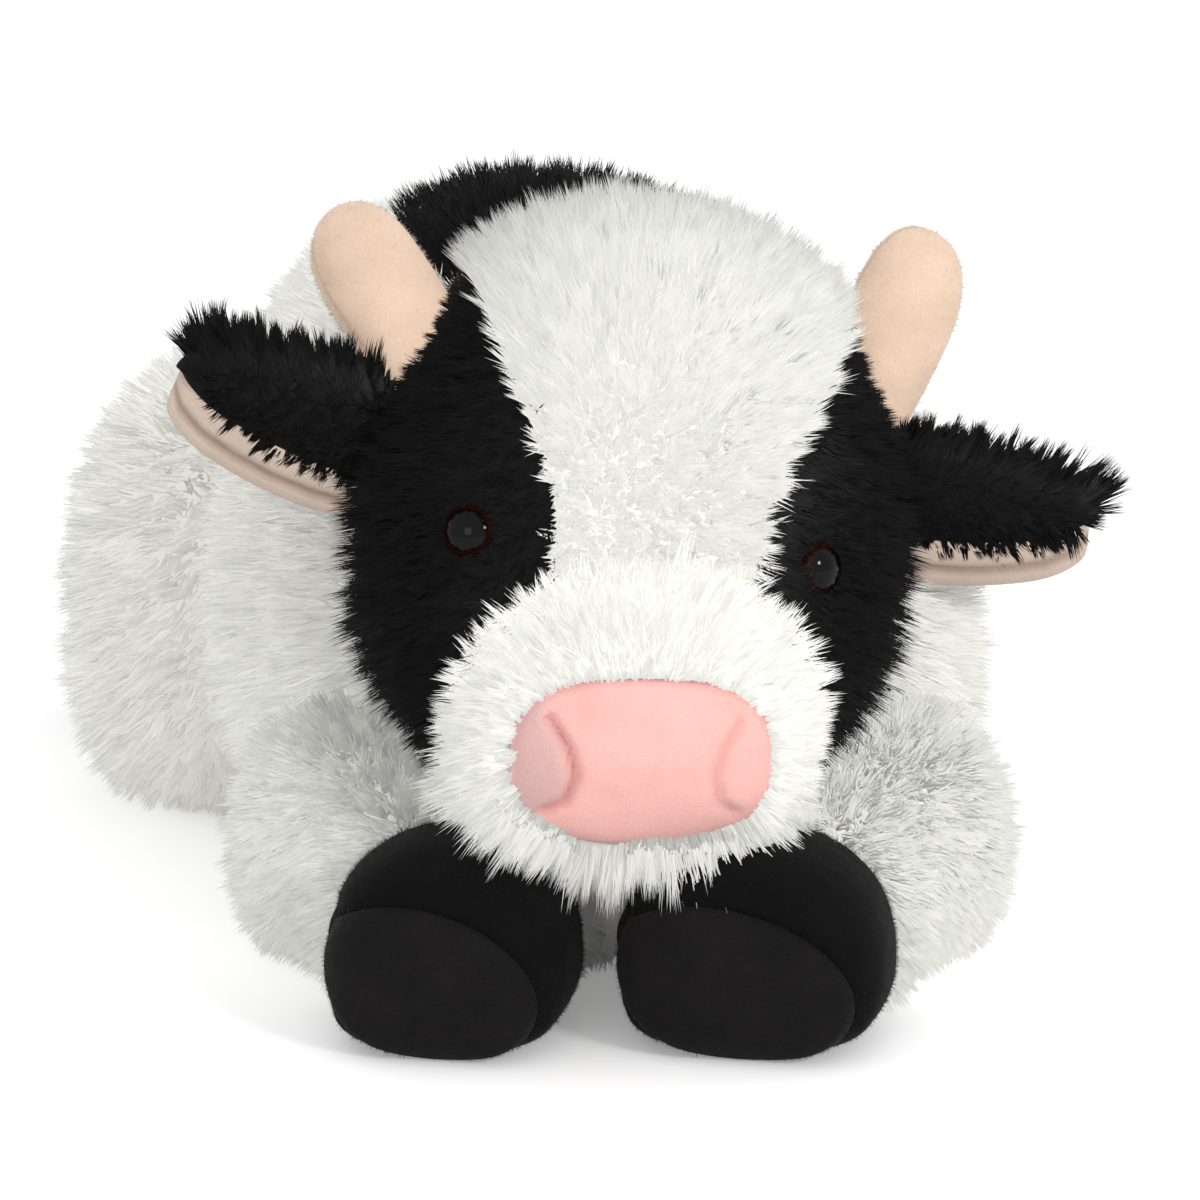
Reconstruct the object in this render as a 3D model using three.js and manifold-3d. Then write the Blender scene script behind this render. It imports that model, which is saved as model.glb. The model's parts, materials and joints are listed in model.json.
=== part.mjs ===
// Plush cow lying on its belly with its chin on its front hooves.
// Millimetres, +Z up, the face looks along -Y. Right and left are the cow's own: its right side is at -X.
// While the cow is put together, Y is 0 at the front hooves and Z is 0 on the floor.
import * as THREE from "three";
import { mergeVertices } from "three/addons/utils/BufferGeometryUtils.js";
import Module from "manifold-3d";

const wasm = await Module();
wasm.setup();

// Cloth, seams and fill
const cloth = 1.7; // pile fabric with its backing, without the pile
const seam = 0.4; // between two pieces of cloth, or between the cloth and its fill
const joint = 0.9; // between a soft form and the hollow that it turns in
const pressed = 0.5; // how deep a soft form is pressed flat where it lies
const overrun = 20; // how far a cutter reaches past what it cuts
const weld = 0.001; // points nearer than this are one point

// Body: a barrel lofted along Y, whose rump drifts to the cow's right
const body = { x: 5, front: 54, length: 222, halfWidth: 82, height: 156, drift: -48 };
const bodyWaistShare = 0.43; // height of the widest place
// place along the length, half width, top, bottom, sideways drift
const bodyShares = [
  [0.03, 0.4, 0.56, 0.06, 0],
  [0.09, 0.68, 0.74, 0.01, 0],
  [0.18, 0.87, 0.8, 0, 0],
  [0.3, 0.97, 0.9, 0, 0.06],
  [0.42, 1, 0.97, 0, 0.16],
  [0.54, 0.95, 1, 0, 0.3],
  [0.66, 0.87, 0.975, 0, 0.5],
  [0.78, 0.74, 0.91, 0, 0.68],
  [0.88, 0.55, 0.8, 0.01, 0.84],
  [0.95, 0.37, 0.67, 0.07, 0.93],
  [0.99, 0.18, 0.53, 0.18, 0.98],
];
const bodyNoseShare = 0.33; // height of the front pole
const bodyTailShare = 0.36; // height of the back pole
const bodySquareness = 1; // 1 is a round section, less is squarer
const bellySquareness = 0.6; // the belly spreads on the floor
const belly = { halfWidth: 47, length: 140, fromFront: 36 }; // the panel that closes the body below
const patch = { halfWidth: 37, length: 104, fromFront: 70 }; // the black patch on the back
const beanBag = { halfWidth: 38, length: 108, height: 26 };

// Head: a ball that turns in the body, drawn out forwards into a muzzle
const head = { x: 7, y: 78, z: 112, radius: 57, reach: 70, turnDegrees: 8, tiltDegrees: 8.5 };
// place along the reach, half width, top, bottom and widest height in head radii, share of the muzzle's roll
const faceShares = [
  [0, 1, 1, -1, 0, 0],
  [0.17, 0.985, 0.915, -1.01, -0.12, 0.3],
  [0.34, 0.93, 0.75, -1.03, -0.34, 0.7],
  [0.47, 0.8, 0.49, -1.06, -0.52, 0.9],
  [0.57, 0.69, 0.13, -1.09, -0.62, 1],
  [0.65, 0.61, -0.24, -1.12, -0.7, 1],
  [0.74, 0.585, -0.42, -1.14, -0.78, 1],
  [0.88, 0.555, -0.455, -1.14, -0.8, 1],
  [0.955, 0.45, -0.54, -1.05, -0.8, 1],
];
const jowlSquareness = 0.75; // the cheeks spread below their widest place
const muzzleTipShare = -0.8; // height of the front pole in head radii
const chinRoomShare = 1.12; // how far below the head's centre the chest is cleared
const jowlRoom = 13; // how far behind the head's centre the jowls swing
// the muzzle sags level; its panel starts this far in front of the centre
const muzzle = { rollDegrees: -5.5, seamAt: 45 };
// height and half width of the white blaze in head radii
const blazeShares = [
  [-0.62, 0.4],
  [-0.2, 0.38],
  [0.1, 0.41],
  [0.4, 0.55],
  [0.72, 0.7],
  [1.2, 0.72],
];
const blazeBack = 26; // how far behind the head's centre the blaze ends
const nose = { halfWidth: 28.4, halfHeight: 18.2, z: -46.5, proud: 0.8, back: 50 };
const noseSquareness = 0.78;
const noseTaperShare = 0.06;
const tuck = { width: 1.2, depth: 1 }; // stitched crease of a nostril
// points of the nostril's crease, in half widths and half heights of the nose
const tuckShares = [
  [0.74, 0.62],
  [0.6, 0.28],
  [0.54, -0.05],
  [0.6, -0.34],
  [0.75, -0.48],
];

// Eyes: a domed safety eye, its shank through the cheek and a washer behind
const eye = { place: 34.5, z: -7, radius: 6.2, height: 4, shank: 1.5, shankLength: 11 };
const washer = { radius: 6.2, thickness: 1.3, under: 1.9 };

// Horns: a stuffed stub, narrower where it is sewn on
const horn = { length: 48, radius: 12.6, sunk: 8, curve: 3 };
const hornFlatShare = 0.86; // depth for its width
const hornShares = [
  [0, 0.74],
  [0.25, 0.78],
  [0.5, 0.92],
  [0.68, 1],
  [0.82, 0.93],
  [0.93, 0.66],
  [0.985, 0.3],
];
const hornSeat = { x: 51.5, y: 8, z: 24 };
const rightHorn = { outDegrees: 32, backDegrees: 52 };
const leftHorn = { outDegrees: 21, backDegrees: 6 };

// Ears: a leaf of cloth folded lengthwise, the lining inside the fold
const ear = { length: 45, root: 10, half: 15.5, depth: 6.2, cloth: 2.6, lip: 4.5, sunk: 4 };
// place along the length, half height and half depth
const earShares = [
  [0.12, 0.86, 1],
  [0.34, 1, 1],
  [0.56, 0.93, 0.95],
  [0.76, 0.74, 0.85],
  [0.9, 0.5, 0.7],
  [0.97, 0.28, 0.5],
];
const liningShares = [0, 0.9]; // where the lining starts and ends along the length
const earSeat = { y: 0, z: 2 };
const rightEar = { riseDegrees: 16, backDegrees: 2 };
const leftEar = { riseDegrees: 4, backDegrees: -10 };

// Legs: a plush sleeve with a round root that turns in the body, and a velour hoof
// spreadShare is how far a hoof is spread sideways by the chin that lies on it
const foreleg = { x: 52, y: 85, root: 33, height: 56, halfWidth: 27, top: 47, wrist: 45 };
const rightForeleg = { headingDegrees: 24, hoofDegrees: -34, spreadShare: 1 };
const leftForeleg = { headingDegrees: -24, hoofDegrees: 14, spreadShare: 1.1 };
const hindLeg = { along: 168, out: 64, root: 41, height: 112, halfWidth: 24, top: 45, wrist: 36 };
const rightHindLeg = { side: -1, headingDegrees: 192, hoofDegrees: 0, spreadShare: 1 };
const leftHindLeg = { side: 1, headingDegrees: 155, hoofDegrees: 0, spreadShare: 1 };
const rearBendDegrees = 17; // how far the rump's own axis is turned
const hoof = { length: 52, halfWidth: 27, height: 45, back: 9 };
const hoofWaistShare = 0.38;
const legSquareness = 0.88;
const sleeveEndShare = 0.94; // the sleeve's end, for the hoof's size
const soleSquareness = 0.7;
const rootSquareness = 0.5;
// place along the length, half width and height
const hoofShares = [
  [0.04, 0.6, 0.74],
  [0.18, 0.86, 0.9],
  [0.45, 0.97, 0.985],
  [0.7, 1, 1],
  [0.85, 0.97, 0.955],
  [0.94, 0.87, 0.84],
  [0.985, 0.66, 0.66],
];
const hoofPoleShare = 0.4;
const hoofPanel = { halfWidth: 22.5, halfHeight: 15.5, x: -1, z: 20.5, rollDegrees: -12 };
const pellets = { halfWidth: 17, halfLength: 14, halfHeight: 12, mouth: 5 };

// Neck and tail
const neck = { radius: 22, depth: 7, nodDegrees: 20, dipDegrees: 25 };
const tail = { radius: 4.6, up: 92, sunk: 8, back: 21, bend: 12, drop: 22, tuft: 10, tuftLength: 30 };
const tailAlongShare = 0.95;

// Facets
const around = 24;
const ballAround = 28;
const legAround = 16;
const smallAround = 12;
const bagAround = 10;
const domeRows = 5;
const tailRows = 12;
const eggRowsShare = 0.5; // rows of an egg for its points around
const backTurnShares = [0.18, 0.36, 0.54, 0.72, 0.88]; // rings over the back of the head's ball
const rootTurnShares = [0.25, 0.5, 0.75]; // rings over an ear's round root

const right = -1;
const left = 1;
const quarterTurn = Math.PI / 2;
const radians = THREE.MathUtils.degToRad;

// Solids

// A geometry with only its places left, and one point where several lay together.
function welded(geometry) {
  const bare = geometry.index ? geometry.toNonIndexed() : geometry.clone();
  bare.deleteAttribute("normal");
  bare.deleteAttribute("uv");
  const merged = mergeVertices(bare, weld);
  const corners = merged.index.array;
  const kept = [];
  for (let i = 0; i < corners.length; i += 3) {
    const [a, b, c] = corners.slice(i, i + 3);
    if (a !== b && b !== c && c !== a) kept.push(a, b, c);
  }
  return merged.setIndex(kept);
}

// A closed geometry as a solid that can be joined and cut.
function solid(geometry) {
  const { attributes, index } = welded(geometry);
  const mesh = { numProp: 3, vertProperties: attributes.position.array };
  mesh.triVerts = new Uint32Array(index.array);
  return new wasm.Manifold(new wasm.Mesh(mesh));
}

function geometryOf(made) {
  const mesh = made.getMesh();
  const position = new THREE.BufferAttribute(new Float32Array(mesh.vertProperties), 3);
  return new THREE.BufferGeometry()
    .setAttribute("position", position)
    .setIndex(new THREE.BufferAttribute(new Uint32Array(mesh.triVerts), 1));
}

// A closed skin over rings that all have as many points, from one pole to the other, facing outwards.
function loft(rings, firstPole, lastPole) {
  const count = rings[0].length;
  const points = [firstPole, ...rings.flat(), lastPole];
  const last = points.length - 1;
  const at = (ring, i) => 1 + ring * count + (i % count);
  const faces = [];
  for (let i = 0; i < count; i++) {
    faces.push([0, at(0, i + 1), at(0, i)]);
    for (let ring = 0; ring + 1 < rings.length; ring++) {
      faces.push([at(ring, i), at(ring, i + 1), at(ring + 1, i)]);
      faces.push([at(ring, i + 1), at(ring + 1, i + 1), at(ring + 1, i)]);
    }
    faces.push([at(rings.length - 1, i), at(rings.length - 1, i + 1), last]);
  }
  const volume = faces.reduce((sum, [a, b, c]) => {
    return sum + points[a].dot(new THREE.Vector3().crossVectors(points[b], points[c]));
  }, 0);
  if (volume < 0) faces.forEach((face) => face.reverse());
  return new THREE.BufferGeometry().setFromPoints(points).setIndex(faces.flat());
}

// A ring across Y: round or a little square, with its own reach up and down from its widest place.
function ring({
  x = 0,
  y,
  z,
  halfWidth,
  up,
  down,
  roll = 0,
  squareness = 1,
  lowSquareness = squareness,
  count = around,
}) {
  return Array.from({ length: count }, (_, i) => {
    const turn = (2 * Math.PI * i) / count;
    const upper = Math.sin(turn) > 0;
    const soft = (value) => Math.sign(value) * Math.abs(value) ** (upper ? squareness : lowSquareness);
    const rise = upper ? up : down;
    const point = new THREE.Vector3(halfWidth * soft(Math.cos(turn)), 0, rise * soft(Math.sin(turn)));
    return point.applyAxisAngle(new THREE.Vector3(0, 1, 0), roll).add(new THREE.Vector3(x, y, z));
  });
}

// The same skin moved inwards by a distance, or outwards where that is negative.
function shrunk(geometry, distance) {
  const inner = welded(geometry);
  inner.computeVertexNormals();
  const { position, normal } = inner.attributes;
  for (let i = 0; i < position.count; i++) {
    const x = position.getX(i) - distance * normal.getX(i);
    const y = position.getY(i) - distance * normal.getY(i);
    const z = position.getZ(i) - distance * normal.getZ(i);
    position.setXYZ(i, x, y, z);
  }
  inner.deleteAttribute("normal");
  return inner;
}

// A ball or egg about the Z axis.
function egg(halfX, halfY, halfZ, count = around) {
  const rows = Math.round(count * eggRowsShare);
  return new THREE.SphereGeometry(1, count, rows).rotateX(quarterTurn).scale(halfX, halfY, halfZ);
}

// A flat outline in X and Z, carried along Y from one place to another.
function slabAlongY(outline, from, to) {
  const shape = new THREE.Shape(outline);
  const depth = to - from;
  const made = new THREE.ExtrudeGeometry(shape, { depth, bevelEnabled: false });
  return made.rotateX(quarterTurn).translate(0, to, 0);
}

// The points of an oval in X and Z, or X and Y.
function ovalPoints(halfWidth, halfHeight, x = 0, z = 0, roll = 0, count = around) {
  const middle = new THREE.Vector2(x, z);
  return Array.from({ length: count }, (_, i) => {
    const turn = (2 * Math.PI * i) / count;
    const point = new THREE.Vector2(halfWidth * Math.cos(turn), halfHeight * Math.sin(turn));
    return point.rotateAround(new THREE.Vector2(), roll).add(middle);
  });
}

// A block that holds everything on one side of a place on the Y axis.
function blockBeforeY(y, size) {
  return new THREE.BoxGeometry(size, size, size).translate(0, y - size / 2, 0);
}

const placed = (geometry, matrix) => geometry.clone().applyMatrix4(matrix);

// A solid cut flat where it lies on the floor.
function onFloor(made) {
  const size = 2 * body.length;
  return made.subtract(solid(new THREE.BoxGeometry(size * 2, size * 2, size).translate(0, 0, -size / 2)));
}

// Materials
const finish = (color, roughness = 1) => new THREE.MeshStandardMaterial({ color, roughness, metalness: 0 });
const finishes = {
  whitePlush: () => finish("#eceee6"),
  blackPlush: () => finish("#161616"),
  pinkVelour: () => finish("#f6c6be"),
  beigeVelour: () => finish("#efcfae"),
  earLining: () => finish("#ecd0bf"),
  hoofVelour: () => finish("#1b1818"),
  fibreFill: () => finish("#f4f4f0"),
  pelletBag: () => finish("#d9dad6"),
  eyePlastic: () => finish("#0b0706", 0.08),
  washerPlastic: () => finish("#e8e8e4", 0.5),
};

const cow = new THREE.Group();

function add(parent, name, made, material) {
  const mesh = new THREE.Mesh(made.getMesh ? geometryOf(made) : made, finishes[material]());
  mesh.name = name;
  parent.add(mesh);
  return mesh;
}

function frameAt(parent, x, y, z, rotation = new THREE.Euler()) {
  const group = new THREE.Group();
  group.position.set(x, y, z);
  group.rotation.copy(rotation);
  parent.add(group);
  group.updateWorldMatrix(true, false);
  return group;
}

// Body form
const bodyX = (driftShare) => body.x + body.drift * driftShare;
const bodyY = (place) => body.front + body.length * place;
const bodyRings = bodyShares.map(([place, width, top, bottom, drift]) => {
  const high = body.height * top;
  const low = body.height * bottom - pressed;
  const waist = low + (high - low) * bodyWaistShare;
  return ring({
    x: bodyX(drift),
    y: bodyY(place),
    z: waist,
    halfWidth: body.halfWidth * width,
    up: high - waist,
    down: waist - low,
    squareness: bodySquareness,
    lowSquareness: bellySquareness,
  });
});
const bodyForm = loft(
  bodyRings,
  new THREE.Vector3(body.x, body.front, body.height * bodyNoseShare),
  new THREE.Vector3(bodyX(1), bodyY(1), body.height * bodyTailShare),
);

// Head frame and form, in the head's own upright axes about the centre of its ball
const headFrame = frameAt(
  cow,
  head.x,
  head.y,
  head.z,
  new THREE.Euler(0, radians(head.tiltDegrees), radians(head.turnDegrees), "ZYX"),
);
const backRings = backTurnShares.map((share) => {
  const turn = share * quarterTurn;
  const size = head.radius * Math.sin(turn);
  return ring({ y: head.radius * Math.cos(turn), z: 0, halfWidth: size, up: size, down: size });
});
const faceRings = faceShares.map(([place, width, top, bottom, waist, roll]) => {
  return ring({
    y: -head.reach * place,
    z: head.radius * waist,
    halfWidth: head.radius * width,
    up: head.radius * (top - waist),
    down: head.radius * (waist - bottom),
    roll: radians(muzzle.rollDegrees) * roll,
    lowSquareness: place > 0 ? jowlSquareness : 1,
  });
});
const headForm = loft(
  [...backRings, ...faceRings],
  new THREE.Vector3(0, head.radius, 0),
  new THREE.Vector3(0, -head.reach, head.radius * muzzleTipShare),
);

// How far the spine has drifted sideways at a place along the body.
function driftAt(place) {
  const after = bodyShares.findIndex(([share]) => share > place);
  const [from, to] = [bodyShares[after - 1], bodyShares[after]];
  return THREE.MathUtils.mapLinear(place, from[0], to[0], from[4], to[4]);
}

// Leg frames stand on the floor at the middle of each leg's round root; the leg points along their -Y
const turnedBy = (degrees) => new THREE.Euler(0, 0, radians(degrees));
const rearPlace = hindLeg.along / body.length;
const rearMiddle = new THREE.Vector2(bodyX(driftAt(rearPlace)), bodyY(rearPlace));
const rearSide = new THREE.Vector2(hindLeg.out, 0).rotateAround(new THREE.Vector2(), radians(rearBendDegrees));
const legs = [
  { name: "right_fore", size: foreleg, set: rightForeleg, x: body.x - foreleg.x, y: foreleg.y },
  { name: "left_fore", size: foreleg, set: leftForeleg, x: body.x + foreleg.x, y: foreleg.y },
  ...[rightHindLeg, leftHindLeg].map((set) => ({
    name: set.side === right ? "right_hind" : "left_hind",
    size: hindLeg,
    set,
    x: rearMiddle.x + set.side * rearSide.x,
    y: rearMiddle.y + set.side * rearSide.y,
  })),
];

// A leg's or hoof's ring, sitting on the floor.
function floorRing(y, halfWidth, top) {
  const waist = -pressed + (top + pressed) * hoofWaistShare;
  return ring({
    y,
    z: waist,
    halfWidth,
    up: top - waist,
    down: waist + pressed,
    squareness: legSquareness,
    lowSquareness: soleSquareness,
    count: legAround,
  });
}

// The hoof along -Y, from its round back inside the sleeve to its front
const hoofForm = loft(
  hoofShares.map(([place, width, height]) => {
    return floorRing(hoof.back - hoof.length * place, hoof.halfWidth * width, hoof.height * height);
  }),
  new THREE.Vector3(0, hoof.back, hoof.height * hoofPoleShare),
  new THREE.Vector3(0, hoof.back - hoof.length, hoof.height * hoofPoleShare),
);

// A leg's root: round seen from above, with its underside spread on the floor.
function legRoot(radius, height) {
  const rows = legAround / 2;
  const profile = Array.from({ length: rows + 1 }, (_, i) => {
    const turn = (Math.PI * i) / rows - quarterTurn;
    const power = turn < 0 ? rootSquareness : 1;
    const rise = Math.sign(turn) * Math.abs(Math.sin(turn)) ** power;
    return new THREE.Vector2(radius * Math.abs(Math.cos(turn)) ** power, (height / 2) * (1 + rise) - pressed);
  });
  profile[0].x = 0;
  profile[rows].x = 0;
  return new THREE.LatheGeometry(profile, legAround).rotateX(quarterTurn);
}

for (const leg of legs) {
  const { size, set } = leg;
  leg.frame = frameAt(cow, leg.x, leg.y, 0, turnedBy(set.headingDegrees));
  leg.hoofFrame = frameAt(leg.frame, 0, -size.wrist, 0, turnedBy(set.hoofDegrees));
  leg.hoofFrame.scale.x = set.spreadShare;
  leg.hoofFrame.updateMatrix();
  leg.rootForm = legRoot(size.root, size.height);
  leg.sleeveForm = loft(
    [
      floorRing(0, size.halfWidth, size.top),
      floorRing(-size.wrist / 2, size.halfWidth, size.top),
      floorRing(-size.wrist + seam, hoof.halfWidth * sleeveEndShare, hoof.height * sleeveEndShare),
    ],
    new THREE.Vector3(0, size.root / 2, size.top / 2),
    new THREE.Vector3(0, -size.wrist, hoof.height / 2),
  );
  const forms = [leg.rootForm, leg.sleeveForm, placed(hoofForm, leg.hoofFrame.matrix)];
  leg.room = forms.map((form) => solid(placed(shrunk(form, -joint), leg.frame.matrixWorld)));
}

// Tail frame, at the middle of the hole in the rump
const tailFrame = frameAt(cow, bodyX(driftAt(tailAlongShare)), bodyY(tailAlongShare), tail.up);

// What the body leaves room for: the head's ball and chin, the leg roots and the tail
const chinRoom = new THREE.BoxGeometry(2 * body.length, body.length, body.length);
const chinFloor = head.z - head.radius * chinRoomShare;
chinRoom.translate(head.x, head.y + jowlRoom - body.length / 2, chinFloor + body.length / 2);
const headBall = egg(head.radius + joint, head.radius + joint, head.radius + joint, ballAround);
const tailHole = new THREE.CylinderGeometry(
  tail.radius + joint,
  tail.radius + joint,
  2 * (tail.sunk + joint),
  smallAround,
);
const bodyRoom = [
  solid(headBall.translate(head.x, head.y, head.z)),
  solid(chinRoom),
  solid(placed(tailHole, tailFrame.matrixWorld)),
  ...legs.flatMap((leg) => leg.room),
];
const withRoom = (made) => bodyRoom.reduce((rest, room) => rest.subtract(room), made);

// An upright prism over an oval on the spine, for the belly panel and the back patch.
function spineOval({ halfWidth, length, fromFront }, extra, low, high) {
  const place = (fromFront + length / 2) / body.length;
  const outline = new THREE.Shape(ovalPoints(halfWidth + extra, length / 2 + extra));
  const made = new THREE.ExtrudeGeometry(outline, { depth: high - low, bevelEnabled: false });
  made.rotateZ(radians(rearBendDegrees) / 2);
  return solid(made.translate(bodyX(driftAt(place)), bodyY(place), low));
}
const bellyOval = (extra) => spineOval(belly, extra, -overrun, overrun);
const patchOval = (extra) => spineOval(patch, extra, body.height / 2, body.height + overrun);

// Body: plush cover, black patch, belly panel, fibre fill and a bag of pellets low in the belly
const bodySkin = withRoom(onFloor(solid(bodyForm)).subtract(solid(shrunk(bodyForm, cloth))));
add(cow, "body_cover", bodySkin.subtract(bellyOval(seam)).subtract(patchOval(seam)), "whitePlush");
add(cow, "back_patch", bodySkin.intersect(patchOval(0)), "blackPlush");
add(cow, "belly_panel", bodySkin.intersect(bellyOval(0)), "whitePlush");

const bodyInside = shrunk(bodyForm, cloth + seam);
const bagPlace = (belly.fromFront + belly.length / 2) / body.length;
const bagForm = egg(beanBag.halfWidth, beanBag.length / 2, beanBag.height / 2, legAround);
bagForm.translate(bodyX(driftAt(bagPlace)), bodyY(bagPlace), cloth - pressed + beanBag.height / 2);
add(cow, "pellet_bag", solid(bagForm).intersect(solid(bodyInside)), "pelletBag");
const fill = withRoom(solid(bodyInside).subtract(solid(shrunk(bagForm, -seam))));
add(cow, "body_fill", fill, "fibreFill");

// Neck: the wad of fibre packed through the neck opening, between the body's hollow and the head
const neckFrame = frameAt(cow, head.x, head.y, head.z);
const ball = (radius) => solid(egg(radius, radius, radius, ballAround));
const neckWad = new THREE.CylinderGeometry(neck.radius, neck.radius, head.radius, around);
neckWad.translate(0, head.radius, 0).rotateX(-radians(neck.dipDegrees));
const wad = solid(neckWad).intersect(ball(head.radius)).subtract(ball(head.radius - neck.depth));
add(neckFrame, "neck_fill", wad, "fibreFill");

// The hollow in the back of the head that the wad turns in, swept over the nod.
function neckHollow() {
  const reach = head.radius + overrun;
  const spread = Math.asin(neck.radius / (head.radius - neck.depth)) + joint / head.radius;
  const low = -radians(neck.dipDegrees) - spread;
  const high = radians(neck.nodDegrees - neck.dipDegrees) + spread;
  const sector = new THREE.Shape().moveTo(0, 0).absarc(0, 0, reach, low, high, false).lineTo(0, 0);
  const halfWidth = neck.radius + joint;
  const made = new THREE.ExtrudeGeometry(sector, { depth: 2 * halfWidth, bevelEnabled: false });
  made.translate(0, 0, -halfWidth);
  const [xAxis, yAxis, zAxis] = [0, 1, 2].map((i) => new THREE.Vector3().setComponent(i, 1));
  made.applyMatrix4(new THREE.Matrix4().makeBasis(yAxis, zAxis, xAxis));
  const hollow = solid(made).subtract(ball(head.radius - neck.depth - joint));
  const toHead = headFrame.matrixWorld.clone().invert().multiply(neckFrame.matrixWorld);
  return solid(placed(geometryOf(hollow), toHead));
}

// Ear frames lie at the ears' hinges, on the head's frame
const ears = [
  { side: right, name: "right", set: rightEar },
  { side: left, name: "left", set: leftEar },
];
for (const one of ears) {
  const { side, set } = one;
  const surface = Math.sqrt(head.radius ** 2 - earSeat.y ** 2 - earSeat.z ** 2);
  const turn = new THREE.Euler(0, -side * radians(set.riseDegrees), side * radians(set.backDegrees), "ZYX");
  one.frame = frameAt(headFrame, side * (surface + ear.root - ear.sunk), earSeat.y, earSeat.z, turn);
  const pocket = new THREE.CylinderGeometry(
    ear.root + joint,
    ear.root + joint,
    2 * (ear.depth + joint),
    legAround,
  );
  one.pocket = solid(placed(pocket, one.frame.matrix));
}

// Eye frames stand on the cheeks, with their +Y out along the shank
const eyes = [
  { side: right, name: "right" },
  { side: left, name: "left" },
];
for (const one of eyes) {
  const from = new THREE.Vector3(0, -eye.place, eye.z);
  const ray = new THREE.Raycaster(from, new THREE.Vector3(one.side, 0, 0));
  const seenFromInside = new THREE.MeshBasicMaterial({ side: THREE.DoubleSide });
  const [hit] = ray.intersectObject(new THREE.Mesh(headForm, seenFromInside));
  one.frame = frameAt(headFrame, hit.point.x, hit.point.y, hit.point.z);
  one.frame.quaternion.setFromUnitVectors(new THREE.Vector3(0, 1, 0), hit.face.normal);
  one.frame.updateMatrix();
  one.frame.updateWorldMatrix(true, false);
}

// A round peg along an eye's shank, between two depths under the cheek.
function shankPeg(radius, deep, shallow, count = smallAround) {
  const made = new THREE.CylinderGeometry(radius, radius, deep - shallow, count);
  return made.translate(0, -(deep + shallow) / 2, 0);
}
const washerTop = cloth + washer.under;
const washerBottom = washerTop + washer.thickness;

// Head: two black cheeks, the white blaze and muzzle, the pink nose, and fibre fill
const headSolid = solid(headForm);
const headInside = solid(shrunk(headForm, cloth));
const earPockets = (made) => ears.reduce((rest, one) => rest.subtract(one.pocket), made);
const shankHoles = (made, radius) =>
  eyes.reduce((rest, one) => {
    const hole = shankPeg(radius, eye.shankLength + overrun, -overrun);
    return rest.subtract(solid(placed(hole, one.frame.matrix)));
  }, made);
const headSkin = shankHoles(
  earPockets(headSolid.subtract(headInside).subtract(neckHollow())),
  eye.shank + seam,
);

function blazeSlab(extra) {
  const side = blazeShares.map(([height, width]) => {
    return new THREE.Vector2(head.radius * width + extra, head.radius * height);
  });
  const other = side.map((point) => new THREE.Vector2(-point.x, point.y)).reverse();
  return solid(slabAlongY([...side, ...other], -head.reach, blazeBack + extra));
}
const beforeSeam = (extra) => solid(blockBeforeY(-muzzle.seamAt + extra, 2 * head.reach));
add(headFrame, "forehead_blaze", headSkin.intersect(blazeSlab(0)).subtract(beforeSeam(seam)), "whitePlush");

const cheeks = headSkin.subtract(blazeSlab(seam)).subtract(beforeSeam(seam));
for (const side of [right, left]) {
  const half = new THREE.BoxGeometry(2 * head.reach, 4 * head.reach, 4 * head.reach);
  half.translate(side * (head.reach + seam / 2), 0, 0);
  add(headFrame, side === right ? "right_cheek" : "left_cheek", cheeks.intersect(solid(half)), "blackPlush");
}

// The nose's outline: an oval, a little square and wider above, rolled with the muzzle.
function noseOutline(extra) {
  return Array.from({ length: around }, (_, i) => {
    const turn = (2 * Math.PI * i) / around;
    const soft = (value) => Math.sign(value) * Math.abs(value) ** noseSquareness;
    const wide = 1 + noseTaperShare * Math.sin(turn);
    const x = (nose.halfWidth + extra) * soft(Math.cos(turn)) * wide;
    const z = (nose.halfHeight + extra) * soft(Math.sin(turn));
    return new THREE.Vector2(x, z).rotateAround(new THREE.Vector2(), -radians(muzzle.rollDegrees));
  }).map((point) => point.add(new THREE.Vector2(0, nose.z)));
}
const noseSlab = (extra) => solid(slabAlongY(noseOutline(extra), -head.reach - overrun, -nose.back));
add(
  headFrame,
  "muzzle_panel",
  headSkin.intersect(beforeSeam(0)).subtract(noseSlab(seam)),
  "whitePlush",
);

// The crease of one nostril, as a thin wall through the nose that follows its points.
function tuckWall(side) {
  const middle = tuckShares.map(([x, z]) => {
    return new THREE.Vector2(side * nose.halfWidth * x, nose.halfHeight * z);
  });
  const offset = new THREE.Vector2((side * tuck.width) / 2, 0);
  const outline = [
    ...middle.map((point) => point.clone().add(offset)),
    ...middle.map((point) => point.clone().sub(offset)).reverse(),
  ].map((point) => {
    const rolled = point.rotateAround(new THREE.Vector2(), -radians(muzzle.rollDegrees));
    return rolled.add(new THREE.Vector2(0, nose.z));
  });
  return solid(slabAlongY(outline, -head.reach - overrun, -nose.back));
}
const noseFront = solid(shrunk(headForm, -nose.proud));
const tuckOutside = solid(shrunk(headForm, -nose.proud - seam));
const tuckLayer = tuckOutside.subtract(solid(shrunk(headForm, tuck.depth - nose.proud)));
const tucks = tuckWall(right).add(tuckWall(left)).intersect(tuckLayer);
add(
  headFrame,
  "nose_pad",
  noseFront.subtract(headInside).intersect(noseSlab(0)).subtract(tucks),
  "pinkVelour",
);

const washerRooms = (made) =>
  eyes.reduce((rest, one) => {
    const room = shankPeg(washer.radius + seam, washerBottom + seam, -overrun);
    return rest.subtract(solid(placed(room, one.frame.matrix)));
  }, made);
const headFill = solid(shrunk(headForm, cloth + seam)).subtract(neckHollow());
add(headFrame, "head_fill", washerRooms(shankHoles(earPockets(headFill), eye.shank + seam)), "fibreFill");

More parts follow.
